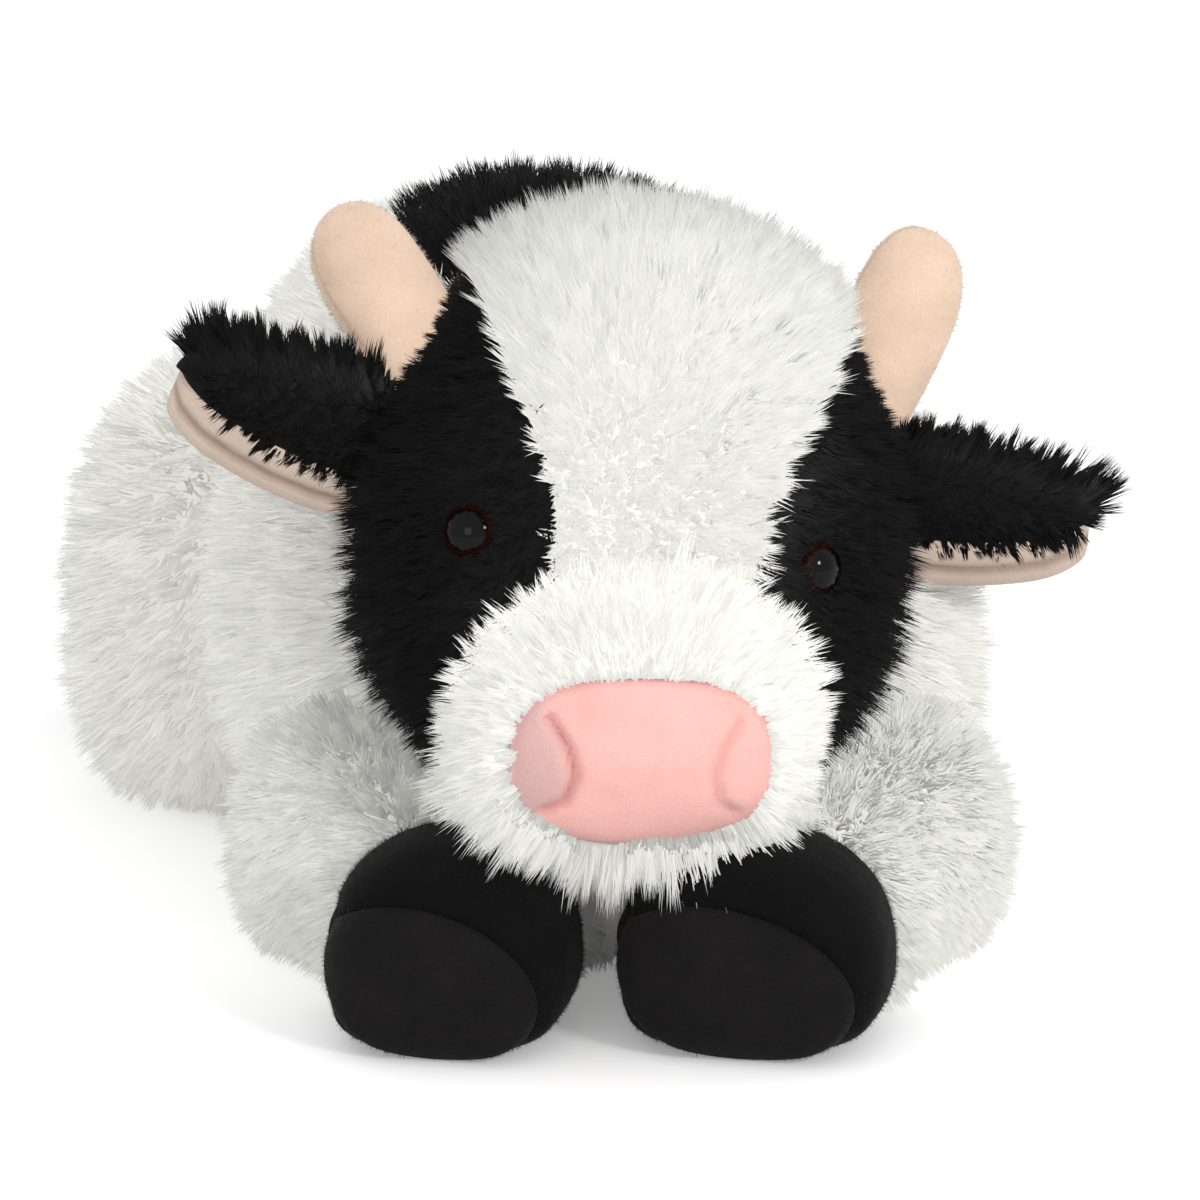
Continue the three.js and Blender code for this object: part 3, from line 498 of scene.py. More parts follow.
def pile(
    name, skin, count, where, comb, long, thick, seed,
    bent=False, tuft=9, pull=0.5, frizz=0.2, ragged=0.25, lit=0, drape=None,
):
    """The pile of a plush cloth: count tapered hairs of three sides, rooted at random on the skin where the
    weight `where` is above 0. A hair stands on the skin's normal and leans by comb; its length is long times
    a random share, and a tuft's hairs are all longer or shorter by up to the share ragged. Tips of one tuft
    are drawn together by the share pull. A bent hair has a ring half way up and leans more above it, and drape
    bends its lower half. The UV map holds the hair's own shade across and its way from root to tip up. Light
    passes through a real pile, so the hairs neither shade nor light each other; the cloth under them does.
    The shading normals are the skin's, opened a little round each hair and turned towards lit."""
    root_depth, floor_gap = 1.2, 0.15
    rng = np.random.default_rng(seed)
    points, normals, triangles = skin
    corners, corner_normals = points[triangles], normals[triangles]
    area = np.linalg.norm(np.cross(corners[:, 1] - corners[:, 0], corners[:, 2] - corners[:, 0]), axis=1)
    weight = area * np.clip(where(corners.mean(axis=1)), 0, 1)
    pick = rng.choice(len(weight), count, p=weight / weight.sum())
    a, b = rng.random((2, count, 1))
    a, b = np.where(a + b > 1, 1 - a, a), np.where(a + b > 1, 1 - b, b)
    root = corners[pick, 0] * (1 - a - b) + corners[pick, 1] * a + corners[pick, 2] * b
    up = corner_normals[pick, 0] * (1 - a - b) + corner_normals[pick, 1] * a + corner_normals[pick, 2] * b
    up = unit(up)
    lead = comb(root)
    centres = rng.choice(count, max(1, count // tuft), replace=False)
    own = centres[nearest(root, root[centres])]
    size = long(root) * rng.uniform(0.65, 1.15, count) * (1 + rng.uniform(-ragged, ragged, count)[own])
    size = size[:, None]
    lead = lead + 0.8 * ragged * rng.normal(size=(count, 3))[own]
    first = unit(up + (0.45 if bent else 0.8) * lead + frizz * rng.normal(size=(count, 3)))
    last = unit(0.55 * up + lead + frizz * rng.normal(size=(count, 3)))
    if drape:
        first = unit(first + drape(root))
    middle = root + first * size * 0.5
    tip = middle + (last if bent else first) * size * 0.5
    tip += pull * (tip[own] - tip)
    middle += 0.4 * pull * (middle[own] - middle)
    across = unit(np.cross(first, rng.normal(size=(count, 3))))
    other = np.cross(first, across)
    turn = 2 * np.pi * np.arange(3) / 3
    spoke = across[:, None] * np.cos(turn)[None, :, None] + other[:, None] * np.sin(turn)[None, :, None]
    radius = (thick * rng.uniform(0.7, 1.2, count) / 2)[:, None, None]
    rings = [(root - up * root_depth)[:, None] + spoke * radius]
    rises = [0.01, 0.02, 0.01]
    if bent:
        rings.append(middle[:, None] + spoke * radius * 0.8)
        rises += [0.45, 0.46, 0.45]
    points = np.concatenate([*rings, tip[:, None]], axis=1)
    points[..., 2] = np.maximum(points[..., 2], floor_gap)
    per_hair = points.shape[1]
    i = np.arange(3)
    j = (i + 1) % 3
    quads = np.stack([i, j, 3 + j, 3 + i], -1) if bent else np.empty((0, 4), int)
    sides = np.vstack([np.stack([per_hair - 4 + i, per_hair - 4 + j, per_hair - 1 + 0 * i], -1), [[2, 1, 0]]])
    base = per_hair * np.arange(count)[:, None, None]
    piece = put_mesh(name, points, quads[None] + base, sides[None] + base)
    mesh = piece.data
    shade = rng.random(count) * 0.5 + 0.5 * rng.random(count)[own]
    uv = np.empty((count, per_hair, 2))
    uv[..., 0] = np.clip(shade[:, None] + [*[-0.01, 0, 0.01] * len(rings), 0], 0.01, 0.99)
    uv[..., 1] = [*rises, 0.99]
    loops = np.empty(len(mesh.loops), np.int32)
    mesh.loops.foreach_get("vertex_index", loops)
    mesh.uv_layers.new(name="OFBake").data.foreach_set("uv", uv.reshape(-1, 2)[loops].ravel())
    round_out = np.concatenate([*[spoke] * len(rings), 0 * tip[:, None]], axis=1)
    lit_normals = unit(up[:, None] + 0.45 * round_out + lit).reshape(-1, 3)
    mesh.normals_split_custom_set_from_vertices(lit_normals.tolist())
    piece.visible_shadow = piece.visible_diffuse = False
    return piece


def mixed(tree, share, first, second, blend="MIX"):
    """The colour between two others by a share, or with MULTIPLY their product."""
    node = add_node(tree, "Mix", data_type="RGBA", blend_type=blend, Factor=share, A=first, B=second)
    return node.outputs["Result"]


def pattern(tree, kind, scale, **given):
    """A texture over the piece's own place, at a scale per metre."""
    place = add_node(tree, "TexCoord").outputs["Object"]
    return add_node(tree, "Tex" + kind, Vector=place, Scale=scale, **given).outputs


def plush(name, shaded_root_colour, tip_colour, rough, shine, spread, sheen):
    """Cloth with a pile: the colour goes from a darker root to the tip up the UV map, the darker root being
    painted shade down between the hairs, and each hair is a little lighter or darker across it."""
    material, shader = new_material(name)
    tree = material.node_tree
    uv = add_node(tree, "UVMap", uv_map="OFBake").outputs["UV"]
    own = add_node(tree, "SeparateXYZ", Vector=uv).outputs
    shade = add_node(tree, "MapRange", Value=own["X"], To_Min=1 - spread, To_Max=1 + spread / 3)
    # Painted shade: the root colour is darker than the tip, for the shade deep in the pile.
    colour = mixed(tree, own["Y"], (*shaded_root_colour, 1), (*tip_colour, 1))
    colour = mixed(tree, 1, colour, shade.outputs["Result"], "MULTIPLY")
    plug(shader, Base_Color=colour, Roughness=rough, Specular_IOR_Level=shine, Sheen_Weight=sheen)
    return material


def backing(name, colour):
    """The knitted backing that the pile is rooted in: a fine mottle over the piece's own place."""
    material, shader = new_material(name)
    mottle = pattern(material.node_tree, "Noise", 900, Detail=2)["Fac"]
    shade = mixed(material.node_tree, mottle, (*[c * 0.88 for c in colour], 1), (*colour, 1))
    plug(shader, Base_Color=shade, Roughness=0.95, Specular_IOR_Level=0.2)
    return material


# The piles' darker root colours are painted shade between the hairs.
white_pile = plush("white_pile", (0.8, 0.795, 0.745), (0.955, 0.955, 0.9), 0.85, 0.1, 0.12, 0.1)
# The white backing is a little darker than the pile's tips: painted shade at the depth of the pile.
white_backing = backing("white_backing", (0.8, 0.8, 0.76))
black_pile = plush("black_pile", (0.002, 0.002, 0.002), (0.0066, 0.0062, 0.0064), 0.4, 0.12, 0.6, 0)
black_backing = backing("black_backing", (0.003, 0.003, 0.003))


def dress(piece, body, slot, material, *nodes, fill=None):
    """What every piece gets: its body and its material, with the solids that it stands for hidden. Its slot is
    not used.
    """
    piece.data.materials.append(material)
    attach(piece, body)
    if nodes:
        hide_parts(*nodes)
    return piece


dress(body_cover, "torso", "white_plush", white_backing, "body_cover", fill=0.7)
dress(back_patch, "torso", "black_plush", black_backing, "back_patch", fill=0.7)
dress(belly_panel, "torso", "white_plush", white_backing, "belly_panel", fill=0.7)


def body_comb(points):
    """The body's pile hangs down its sides and lies backwards along the spine."""
    return 0.3 * np.array([0, 0.5, -1.0]) + 0 * points


def body_long(points):
    """Longest over the shoulders and flanks, shorter on the back."""
    return np.interp(points[:, 2], [0, 60, 130, 156], [10, 11.5, 10, 9])


def open_fur(points):
    """1 on the body outside the head's hollow, the legs and the floor, 0 elsewhere."""
    far = np.linalg.norm(points - [head_x, head_y, head_z], axis=-1) > head_radius + 3
    return far & (points[:, 2] > 2) & ~in_leg(points, 1)


def body_side(points, side):
    """True for one side of the body's white fur, right or left of the spine."""
    return open_fur(points) & ~on_patch(points) & (side * (points[:, 0] - drift_at(points[:, 1])) > 0)


side_light = np.array([0.25, -0.5, 0.35])
for name, side, seed in (("body_pile_right", -1, 11), ("body_pile_left", 1, 12)):
    own_side = lambda p: body_side(p, side)
    hair = pile(name, body_skin, 43000, own_side, body_comb, body_long, 1.2, seed, lit=side_light)
    dress(hair, "torso", "white_plush", white_pile)
hair = pile("back_patch_pile", body_skin, 14000, on_patch, body_comb, body_long, 0.9, 13)
dress(hair, "torso", "black_plush", black_pile)


# Head. A ball that turns in the body's hollow and is drawn out into a muzzle: two black cheeks, a white
# blaze over the crown and a white muzzle, sewn edge to edge and stuffed firm.
head_reach = 70
head_turn, head_tilt = math.radians(8), math.radians(8.5)
ball_turns = np.radians(90 * np.array([0, 0.18, 0.36, 0.54, 0.72, 0.88]))
# place along the reach; half width, top, bottom and widest height in head radii; share of the muzzle's roll
face_shares = np.array(
    [
        [0, 1, 1, -1, 0, 0],
        [0.17, 0.985, 0.915, -1.01, -0.12, 0.3],
        [0.34, 0.93, 0.75, -1.03, -0.34, 0.7],
        [0.47, 0.8, 0.49, -1.06, -0.52, 0.9],
        [0.57, 0.69, 0.13, -1.09, -0.62, 1],
        [0.65, 0.61, -0.24, -1.12, -0.7, 1],
        [0.74, 0.585, -0.42, -1.14, -0.78, 1],
        [0.88, 0.555, -0.455, -1.14, -0.8, 1],
        [0.955, 0.45, -0.54, -1.05, -0.8, 1],
        [1, 0, -0.8, -0.8, -0.8, 1],
    ]
)
jowl_squareness = 0.75
muzzle_roll = -5.5
muzzle_seam, muzzle_front = 45, 54
held_width = 1.6
place, width, top, bottom, waist, roll = face_shares.T
none = 0 * ball_turns
ball_rows = head_radius * np.column_stack([np.cos(ball_turns), none, none, *[np.sin(ball_turns)] * 3, none])
face_rows = np.column_stack(
    [
        -head_reach * place,
        0 * place,
        head_radius * waist,
        head_radius * width,
        head_radius * (top - waist),
        head_radius * (waist - bottom),
        muzzle_roll * roll,
    ]
)
low = [1] * (len(ball_rows) + 1) + [jowl_squareness] * (len(face_rows) - 1)
head_form = Form(np.vstack([ball_rows, face_rows]), low=low)


def turned(z_turn, y_turn):
    """The rotation that tilts about Y first and then turns about Z."""
    cz, sz, cy, sy = math.cos(z_turn), math.sin(z_turn), math.cos(y_turn), math.sin(y_turn)
    return np.array([[cz, -sz, 0], [sz, cz, 0], [0, 0, 1]]) @ np.array([[cy, 0, sy], [0, 1, 0], [-sy, 0, cy]])


head_axes = turned(head_turn, head_tilt)


def from_head(points):
    """Points of the head's own frame, in the frame that the cow is put together in."""
    return points @ head_axes.T + [head_x, head_y, head_z]


def to_head(points):
    """The other way round."""
    return (points - [head_x, head_y, head_z]) @ head_axes


# height and half width of the white blaze in head radii
blaze_shares = np.array([[-0.62, 0.4], [-0.2, 0.38], [0.1, 0.41], [0.4, 0.55], [0.72, 0.7], [1.2, 0.72]])
blaze_back = 26
nose_half, nose_high, nose_z = 28.4, 18.2, -46.5
nose_squareness = 0.78


def nose_share(local):
    """How far from the middle of the nose a point of the head's frame lies, in the nose's own half sizes."""
    roll = math.radians(muzzle_roll)
    x, z = local[..., 0], local[..., 2] - nose_z
    side = x * math.cos(roll) - z * math.sin(roll)
    rise = x * math.sin(roll) + z * math.cos(roll)
    power = 2 / nose_squareness
    return (np.abs(side / nose_half) ** power + np.abs(rise / nose_high) ** power) ** (1 / power)


def blaze_edge(local):
    """How far inside the blaze's side border a point of the head's frame lies, in millimetres."""
    return head_radius * np.interp(local[:, 2] / head_radius, *blaze_shares.T) - np.abs(local[:, 0])


def on_muzzle(points):
    """True on the white panel round the nose."""
    local = to_head(points)
    return (local[:, 1] < -muzzle_seam) & ((nose_share(local) > 0.97) | (local[:, 1] > -muzzle_front))


def on_blaze(points):
    """True on the white blaze and crown."""
    local = to_head(points)
    return (local[:, 1] > -muzzle_seam) & (blaze_edge(local) > 0) & (local[:, 1] < blaze_back)


def on_cheek(points, side):
    """True on one of the two black cheeks."""
    local = to_head(points)
    return (local[:, 1] > -muzzle_seam) & ~on_blaze(points) & (side * local[:, 0] > 0)


def head_seams(points):
    """True along the head's seams and under the nose, where the swelling cover is held."""
    local = to_head(points)
    side_seam = (local[:, 1] > -muzzle_seam) & (local[:, 1] < blaze_back)
    side_seam &= np.abs(blaze_edge(local)) < held_width
    ring_seam = np.abs(local[:, 1] + muzzle_seam) < held_width
    under_nose = (local[:, 1] < -muzzle_front) & (nose_share(local) < 1.08)
    return side_seam | ring_seam | (local[:, 1] > 5) | under_nose


head_skin = stuffed(put_form("head_form", from_head(head_form.grid(6, 96))), 4, 1.2, head_seams, 30)
place = middles(head_skin)
for name, side in (("right_cheek", -1), ("left_cheek", 1)):
    cheek = panel(name + "_plush", head_skin, on_cheek(place, side))
    dress(cheek, "head", "black_plush", black_backing, name, fill=0.9)
blaze = panel("forehead_blaze_plush", head_skin, on_blaze(place))
dress(blaze, "head", "white_plush", white_backing, "forehead_blaze", fill=0.9)
muzzle = panel("muzzle_panel_plush", head_skin, on_muzzle(place))
dress(muzzle, "head", "white_plush", white_backing, "muzzle_panel", fill=0.9)


def node_points(name):
    """A CAD node's own points in millimetres."""
    mesh = frame["nodes"][name].data
    points = np.empty(len(mesh.vertices) * 3)
    mesh.vertices.foreach_get("co", points)
    return points.reshape(-1, 3) / MM - shift


# Where each eye sits and which way it faces, from the washer that locks it behind the cheek
washer_depth = 4.25
eye_seats = {}
for side in ("right", "left"):
    disc = node_points(side + "_eye_washer")
    middle = (disc.min(axis=0) + disc.max(axis=0)) / 2
    axis = np.linalg.eigh(np.cov((disc - disc.mean(axis=0)).T))[1][:, 0]
    axis = axis * np.sign(axis @ (middle - [head_x, head_y, head_z]))
    eye_seats[side] = (middle + axis * washer_depth, axis)
eye_radius = 6.2


def from_eyes(points):
    """The distance from the nearer eye's middle."""
    return np.min([np.linalg.norm(points - seat, axis=-1) for seat, axis in eye_seats.values()], axis=0)


horn_radius = 12.6
horn_seat = np.array([51.5, 8, 24])


def from_horns(local):
    """The distance from the nearer horn's seat, for points of the head's frame."""
    return np.linalg.norm(np.abs(local) * [1, 0, 1] + local * [0, 1, 0] - horn_seat, axis=-1)


def smooth_step(low, high, values):
    """0 before low, 1 past high and a soft change between."""
    t = np.clip((values - low) / (high - low), 0, 1)
    return t * t * (3 - 2 * t)


def cheek_comb(points):
    """The pile of the cheeks runs outwards and down from the middle of the face, and away from the eyes."""
    local = to_head(points)
    way = np.stack([local[:, 0] * 0.01, 0.2 + 0 * local[:, 0], -0.5 + 0 * local[:, 0]], -1) @ head_axes.T
    near = np.exp(-((from_eyes(points) / 11) ** 2))[:, None]
    seats = np.array([seat for seat, axis in eye_seats.values()])
    own = seats[np.argmin([np.linalg.norm(points - seat, axis=-1) for seat in seats], axis=0)]
    return way * (1 - near) + near * unit(points - own) * 0.3


def cheek_long(points):
    """Short by the eyes, longer along the jowls."""
    local = to_head(points)
    base = np.interp(local[:, 2], [-60, -35, 0, 50], [11, 10, 7, 7])
    base = base + 3 * smooth_step(40, 56, np.abs(local[:, 0]))
    bare = np.interp(from_horns(local), [horn_radius - 2, horn_radius + 10], [0.25, 1])
    return base * bare * np.interp(from_eyes(points), [eye_radius - 1, eye_radius + 6], [0.42, 1])


def blaze_comb(points):
    """The blaze's pile stands up at the crown and runs out sideways over its borders."""
    local = to_head(points)
    rise = np.clip(local[:, 2] / head_radius, -0.6, 1)
    way = np.stack([local[:, 0] * 0.012, 0.15 * rise, 0.5 * rise], -1)
    return way @ head_axes.T


def blaze_long(points):
    """Longest on the crown, and short against the horns."""
    local = to_head(points)
    bare = np.interp(from_horns(local), [horn_radius, horn_radius + 9], [0.3, 1])
    return np.interp(local[:, 2], [-40, 0, 45], [8, 8.5, 11]) * bare


def muzzle_comb(points):
    """The muzzle's pile runs away from the nose on all sides, and hangs forwards over the hooves below."""
    local = to_head(points)
    away = unit(np.stack([local[:, 0], 0 * local[:, 0], local[:, 2] - nose_z], -1))
    below = np.clip(-away[:, 2:], 0, 1) * (local[:, 1:2] < -50)
    return (0.75 * away + below * [0, -0.5, -0.5]) @ head_axes.T


def muzzle_drape(points):
    """Below the nose the hair first runs forwards, over the hooves, except over the gap between them."""
    local = to_head(points)
    low = smooth_step(-8, -17, local[:, 2] - nose_z) * smooth_step(3, 8, np.abs(points[:, 0] - 0.5))
    return low[:, None] * [0, -2.0, 0.75]


def muzzle_long(points):
    """Short close to the nose, longest round the chin, where it lies on the hooves."""
    local = to_head(points)
    low = smooth_step(0, -20, local[:, 2] - nose_z)
    more = np.interp(points[:, 0], [-12, -3, 3, 14], [11, 8.5, 8.5, 14.5])
    return np.interp(nose_share(local), [1, 1.15, 1.5], [7, 10, 13]) + more * low


for name, side, seed in (("right_cheek_pile", -1, 21), ("left_cheek_pile", 1, 22)):
    show = lambda p: on_cheek(p, side) & (to_head(p)[:, 1] < 32) & (from_eyes(p) > eye_radius - 0.5)
    hair = pile(name, head_skin, 27000, show, cheek_comb, cheek_long, 0.75, seed)
    dress(hair, "head", "black_plush", black_pile)
hair = pile("forehead_blaze_pile", head_skin, 45000, on_blaze, blaze_comb, blaze_long, 0.85, 23)
dress(hair, "head", "white_plush", white_pile)
front_light = np.array([0, -0.6, 0.3])
bent_forwards = {"bent": True, "lit": front_light, "drape": muzzle_drape}
hair = pile("muzzle_pile", head_skin, 18400, on_muzzle, muzzle_comb, muzzle_long, 0.8, 24, **bent_forwards)
dress(hair, "head", "white_plush", white_pile)


# Nose. A pad of pink velour sewn into the front of the muzzle and stuffed a little proud. A short crease
# stitched down at each side makes a nostril, and the thread of its seam shows darker along the upper edge.
# Shade is painted darker into the creases, more on the left, and over the left lobe.
def depth_of(form, x, z, first, last):
    """How far along Y a form's skin lies over points across it: between a step where the section doesn't
    reach the point and one where it does, the way is halved thirty times."""
    near, far = np.full(x.shape, float(first)), np.full(x.shape, float(last))
    for _ in range(30):
        step = (near + far) / 2
        y, mid_x, mid_z, half, up, down, roll, low = form.sections(step.ravel()).T.reshape(8, *x.shape)
        roll = np.radians(roll)
        side = (x - mid_x) * np.cos(roll) - (z - mid_z) * np.sin(roll)
        rise = (x - mid_x) * np.sin(roll) + (z - mid_z) * np.cos(roll)
        power = 2 / np.where(rise > 0, form.high, low)
        reach = np.maximum(np.where(rise > 0, up, down), 1e-6)
        size = np.abs(side / np.maximum(half, 1e-6)) ** power + np.abs(rise / reach) ** power
        near, far = np.where(size < 1, near, step), np.where(size < 1, step, far)
    return form.sections(far.ravel()).T.reshape(8, *x.shape)[0]


def put_disc(name, middle, rings, back):
    """A puffed pad: the rings of its front, the same moved by back and turned round, and a rim between."""
    count, around = rings.shape[:2]
    front = np.vstack([middle[None], rings.reshape(-1, 3)])
    quads, fan = ring_faces(count, around)
    size = len(front)
    edge = 1 + (count - 1) * around + np.arange(around)
    rim = np.stack([edge, np.roll(edge, -1), np.roll(edge, -1) + size, edge + size], -1)
    return put_mesh(
        name,
        np.vstack([front, front + back]),
        np.vstack([quads, quads[:, ::-1] + size, rim[:, ::-1]]),
        np.vstack([fan, fan[:, ::-1] + size]),
    )


def set_share(piece, name, values):
    """A number from 0 to 1 at each point of a piece, for its material to read."""
    layer = piece.data.attributes.new(name, "FLOAT", "POINT")
    layer.data.foreach_set("value", np.asarray(values, np.float32).ravel())


nose_taper, nose_sag = 0.06, 0.13
pad_half, pad_high, pad_z = nose_half + 0.9, nose_high + 1.4, nose_z - 1.2
crease_shares = np.array([[0.74, 0.62], [0.6, 0.28], [0.54, -0.05], [0.6, -0.34], [0.75, -0.48]])
crease_width, crease_depth = 1.1, 2.8
# how far back behind its front the pad may reach, so that it doesn't run under the muzzle
nose_room = 10
nose_puff, lobe_puff, nose_thick = 3.0, 1.4, 3.2
rings, around = 26, 96
share = (np.arange(1, rings + 1) / rings)[:, None]
turn = (2 * np.pi * np.arange(around) / around)[None, :]
wide = 1 + nose_taper * np.sin(turn)
flat_x = share * pad_half * np.sign(np.cos(turn)) * np.abs(np.cos(turn)) ** nose_squareness * wide
flat_z = share * pad_high * np.sign(np.sin(turn)) * np.abs(np.sin(turn)) ** nose_squareness
flat_x, flat_z = np.append(0, flat_x.ravel()), np.append(0, flat_z.ravel())
share = np.append(0, (share + 0 * turn).ravel())
line = np.linspace(0, len(crease_shares) - 1, 60)
crease_x = np.interp(line, range(len(crease_shares)), crease_shares[:, 0]) * nose_half
crease_z = np.interp(line, range(len(crease_shares)), crease_shares[:, 1]) * nose_high
gap = np.hypot(np.abs(flat_x)[:, None] - crease_x, flat_z[:, None] - crease_z).min(axis=1)
crease = np.exp(-((gap / crease_width) ** 2)) * np.where(flat_x < 0, 0.75, 0.35)
lobe = smooth_step(0, 3, np.abs(flat_x) - np.interp(flat_z, crease_z[::-1], crease_x[::-1]))
roll = math.radians(muzzle_roll)
nose_x = flat_x * math.cos(roll) + flat_z * math.sin(roll)
nose_up = pad_z + flat_z * math.cos(roll) - flat_x * math.sin(roll)
skin_y = depth_of(head_form, nose_x, nose_up, len(head_form.rows) - 1, len(ball_rows) + 2)
skin_y = np.minimum(skin_y, skin_y.min() + nose_room)
puff = nose_puff * (1 - share**4) * (1 - 0.5 * share**2) + lobe_puff * lobe * (1 - share**6)
nose_y = skin_y - puff + crease_depth * crease * (1 - share**8)
points = from_head(np.stack([nose_x, nose_y, nose_up + nose_sag * np.minimum(flat_z, 0)], -1))
front = points[1:].reshape(rings, around, 3)
nose_pad = put_disc("nose_pad_velour", points[0], front, nose_thick * head_axes[:, 1])
top_edge = smooth_step(0.93, 1, share) * smooth_step(0, 8, flat_z)
# Painted shade: the crease share darkens the creases, more on the left, and also carries the real darker
# thread along the upper edge; the lobe share darkens the left lobe only.
for name, values in (("crease", np.maximum(crease, 0.8 * top_edge)), ("lobe", lobe * (flat_x < 0))):
    set_share(nose_pad, name, np.tile(values, 2))


def nap_group():
    """The nap of velour: a fine fibre pattern over coarser clouds of brushed nap. It gives a shade around 1,
    which is 1 and the depth times what both patterns have above their mean, and a height for a bump."""
    group = bpy.data.node_groups.new("nap", "ShaderNodeTree")
    for name, value in (("Fibre Scale", 1800.0), ("Cloud Scale", 90.0), ("Depth", 0.2)):
        group.interface.new_socket(name, in_out="INPUT", socket_type="NodeSocketFloat").default_value = value
    for name in ("Shade", "Height"):
        group.interface.new_socket(name, in_out="OUTPUT", socket_type="NodeSocketFloat")
    given, out = group.nodes.new("NodeGroupInput").outputs, group.nodes.new("NodeGroupOutput")
    fibre = pattern(group, "Noise", given["Fibre Scale"], Detail=3)["Fac"]
    cloud = pattern(group, "Noise", given["Cloud Scale"], Detail=2)["Fac"]
    centred = worked_out(group, "SUBTRACT", worked_out(group, "ADD", fibre, cloud), 1)
    plug(out, Shade=worked_out(group, "MULTIPLY_ADD", centred, given["Depth"], 1), Height=fibre)
    return group


nap = nap_group()


def velour(name, colour, sheen, depth=0.25, bump=0.35, fibre=1800, masks=()):
    """Short-pile cloth: one colour shaded by its nap, with a bump of fine fibres and a pale sheen. Each mask
    is an attribute's name and the colour that shows where it is 1."""
    material, shader = new_material(name)
    tree = material.node_tree
    cloth = add_node(tree, "Group", node_tree=nap, Fibre_Scale=fibre, Depth=depth).outputs
    shown = (*colour, 1)
    for mask, tint in masks:
        layer = add_node(tree, "Attribute", attribute_name=mask)
        shown = mixed(tree, layer.outputs["Fac"], shown, (*tint, 1))
    shown = mixed(tree, 1, shown, cloth["Shade"], "MULTIPLY")
    raised = add_node(tree, "Bump", Strength=bump, Distance=0.0004, Height=cloth["Height"])
    plug(shader, Base_Color=shown, Normal=raised.outputs["Normal"], Roughness=0.9, Specular_IOR_Level=0.15)
    plug(shader, Sheen_Weight=sheen, Sheen_Roughness=0.4)
    return material


# The lobe and crease colours are painted shade; along the upper edge the crease colour is the darker thread.
nose_shade_and_thread = (("lobe", (0.66, 0.41, 0.39)), ("crease", (0.6, 0.27, 0.26)))
pink_velour = velour("pink_velour", (0.83, 0.455, 0.41), 0.25, masks=nose_shade_and_thread)
dress(nose_pad, "head", "pink_velour", pink_velour, "nose_pad", fill=0.8)


# Eyes. Domed safety eyes of black plastic with a dark red-brown ring round the pupil; their washers lock
# them behind the cheeks.
eye_height, eye_sunk = 4.6, 2.5
eye_plastic, shader = new_material("eye_plastic")
ring_mask = add_node(eye_plastic.node_tree, "Attribute", attribute_name="ring").outputs["Fac"]
ring_colour = mixed(eye_plastic.node_tree, ring_mask, (0.001, 0.001, 0.001, 1), (0.012, 0.003, 0.002, 1))
plug(shader, Base_Color=ring_colour, Roughness=0.05, IOR=1.25)


def turned_profile(radii, heights, axis, foot, around):
    """A closed grid of a profile turned about an axis through a foot point, on which it starts and ends."""
    side = unit(np.cross(axis, [0.3, 0.2, 1.0]))
    front = np.cross(axis, side)
    turn = 2 * np.pi * np.arange(around) / around
    spoke = side * np.cos(turn)[:, None] + front * np.sin(turn)[:, None]
    return foot + radii[:, None, None] * spoke[None] + heights[:, None, None] * axis


for side, (seat, axis) in eye_seats.items():
    arc = np.radians(np.linspace(0, 90, 14))
    radii = np.concatenate([[0, eye_radius * 0.96], eye_radius * np.cos(arc)])
    heights = np.concatenate([[-eye_sunk, -eye_sunk], eye_height * np.sin(arc)])
    radii[-1] = 0
    eye = put_form(side + "_eye_dome", turned_profile(radii, heights, axis, seat, 48))
    out = np.concatenate([[0], np.repeat(radii[1:-1] / eye_radius, 48), [0]])
    set_share(eye, "ring", smooth_step(0.72, 0.8, out) * (1 - smooth_step(0.95, 1.0, out)))
    dress(eye, "head", "eye_plastic", eye_plastic, side + "_eye")
washer_plastic, shader = new_material("washer_plastic")
grain = pattern(washer_plastic.node_tree, "Noise", 1200)["Fac"]
rough = add_node(washer_plastic.node_tree, "MapRange", Value=grain, To_Min=0.4, To_Max=0.6)
plug(shader, Base_Color=(0.8, 0.8, 0.77, 1), Roughness=rough.outputs["Result"])
for side in eye_seats:
    node = frame["nodes"][side + "_eye_washer"]
    node.data.materials.clear()
    node.data.materials.append(washer_plastic)


# Horns. Stubby stuffed horns of beige velour, narrower at the head, flattened a little and curved; each is
# sewn from two halves whose seam runs up its outer and inner edge.
nap_length = 1.0


def everywhere(points):
    """1 at every point."""
    return 1 + 0 * points[:, 0]


def fuzz(name, skin, count, where, material, slot, body, seed):
    """The nap of a velour as far as it shows: short fine hairs that stand on its skin."""
    no_lean, short = lambda p: 0 * p, lambda p: nap_length * everywhere(p)
    hair = pile(name, skin, count, where, no_lean, short, 0.3, seed, pull=0, frizz=0.5)
    return dress(hair, body, slot, material)


# The nap's darker root colour is painted shade between its hairs.
horn_nap = plush("horn_nap", (0.68, 0.5, 0.38), (0.8, 0.64, 0.52), 0.9, 0.1, 0.15, 0.1)
horn_length, horn_sunk, horn_curve = 49.5, 8, 4.5
horn_flat = 0.86
horn_shares = np.array(
    [[0, 0], [0, 0.95], [0.25, 1], [0.5, 1.03], [0.68, 1], [0.82, 0.88], [0.93, 0.64], [0.985, 0.3], [1, 0]]
)
horn_lean = {"right": (-1, 32, 52), "left": (1, 21, 6)}
seam_sunk = 0.7
beige_velour = velour("beige_velour", (0.69, 0.51, 0.385), 0.3, masks=(("seam", (0.58, 0.4, 0.29)),))
place, width = horn_shares.T
none = 0 * place
height_rows = np.column_stack([horn_length * place - horn_sunk, none, none, *[horn_radius * width] * 3, none])
horn_grid = Form(height_rows).grid(10, 72)[..., [0, 2, 1]] * [1, horn_flat, 1]
horn_held = lambda p: (np.abs(p[:, 1]) < 1.1) | (p[:, 2] < 4)
horn_skin = stuffed(put_form("horn_form", horn_grid), 2, 0.8, horn_held, 80)
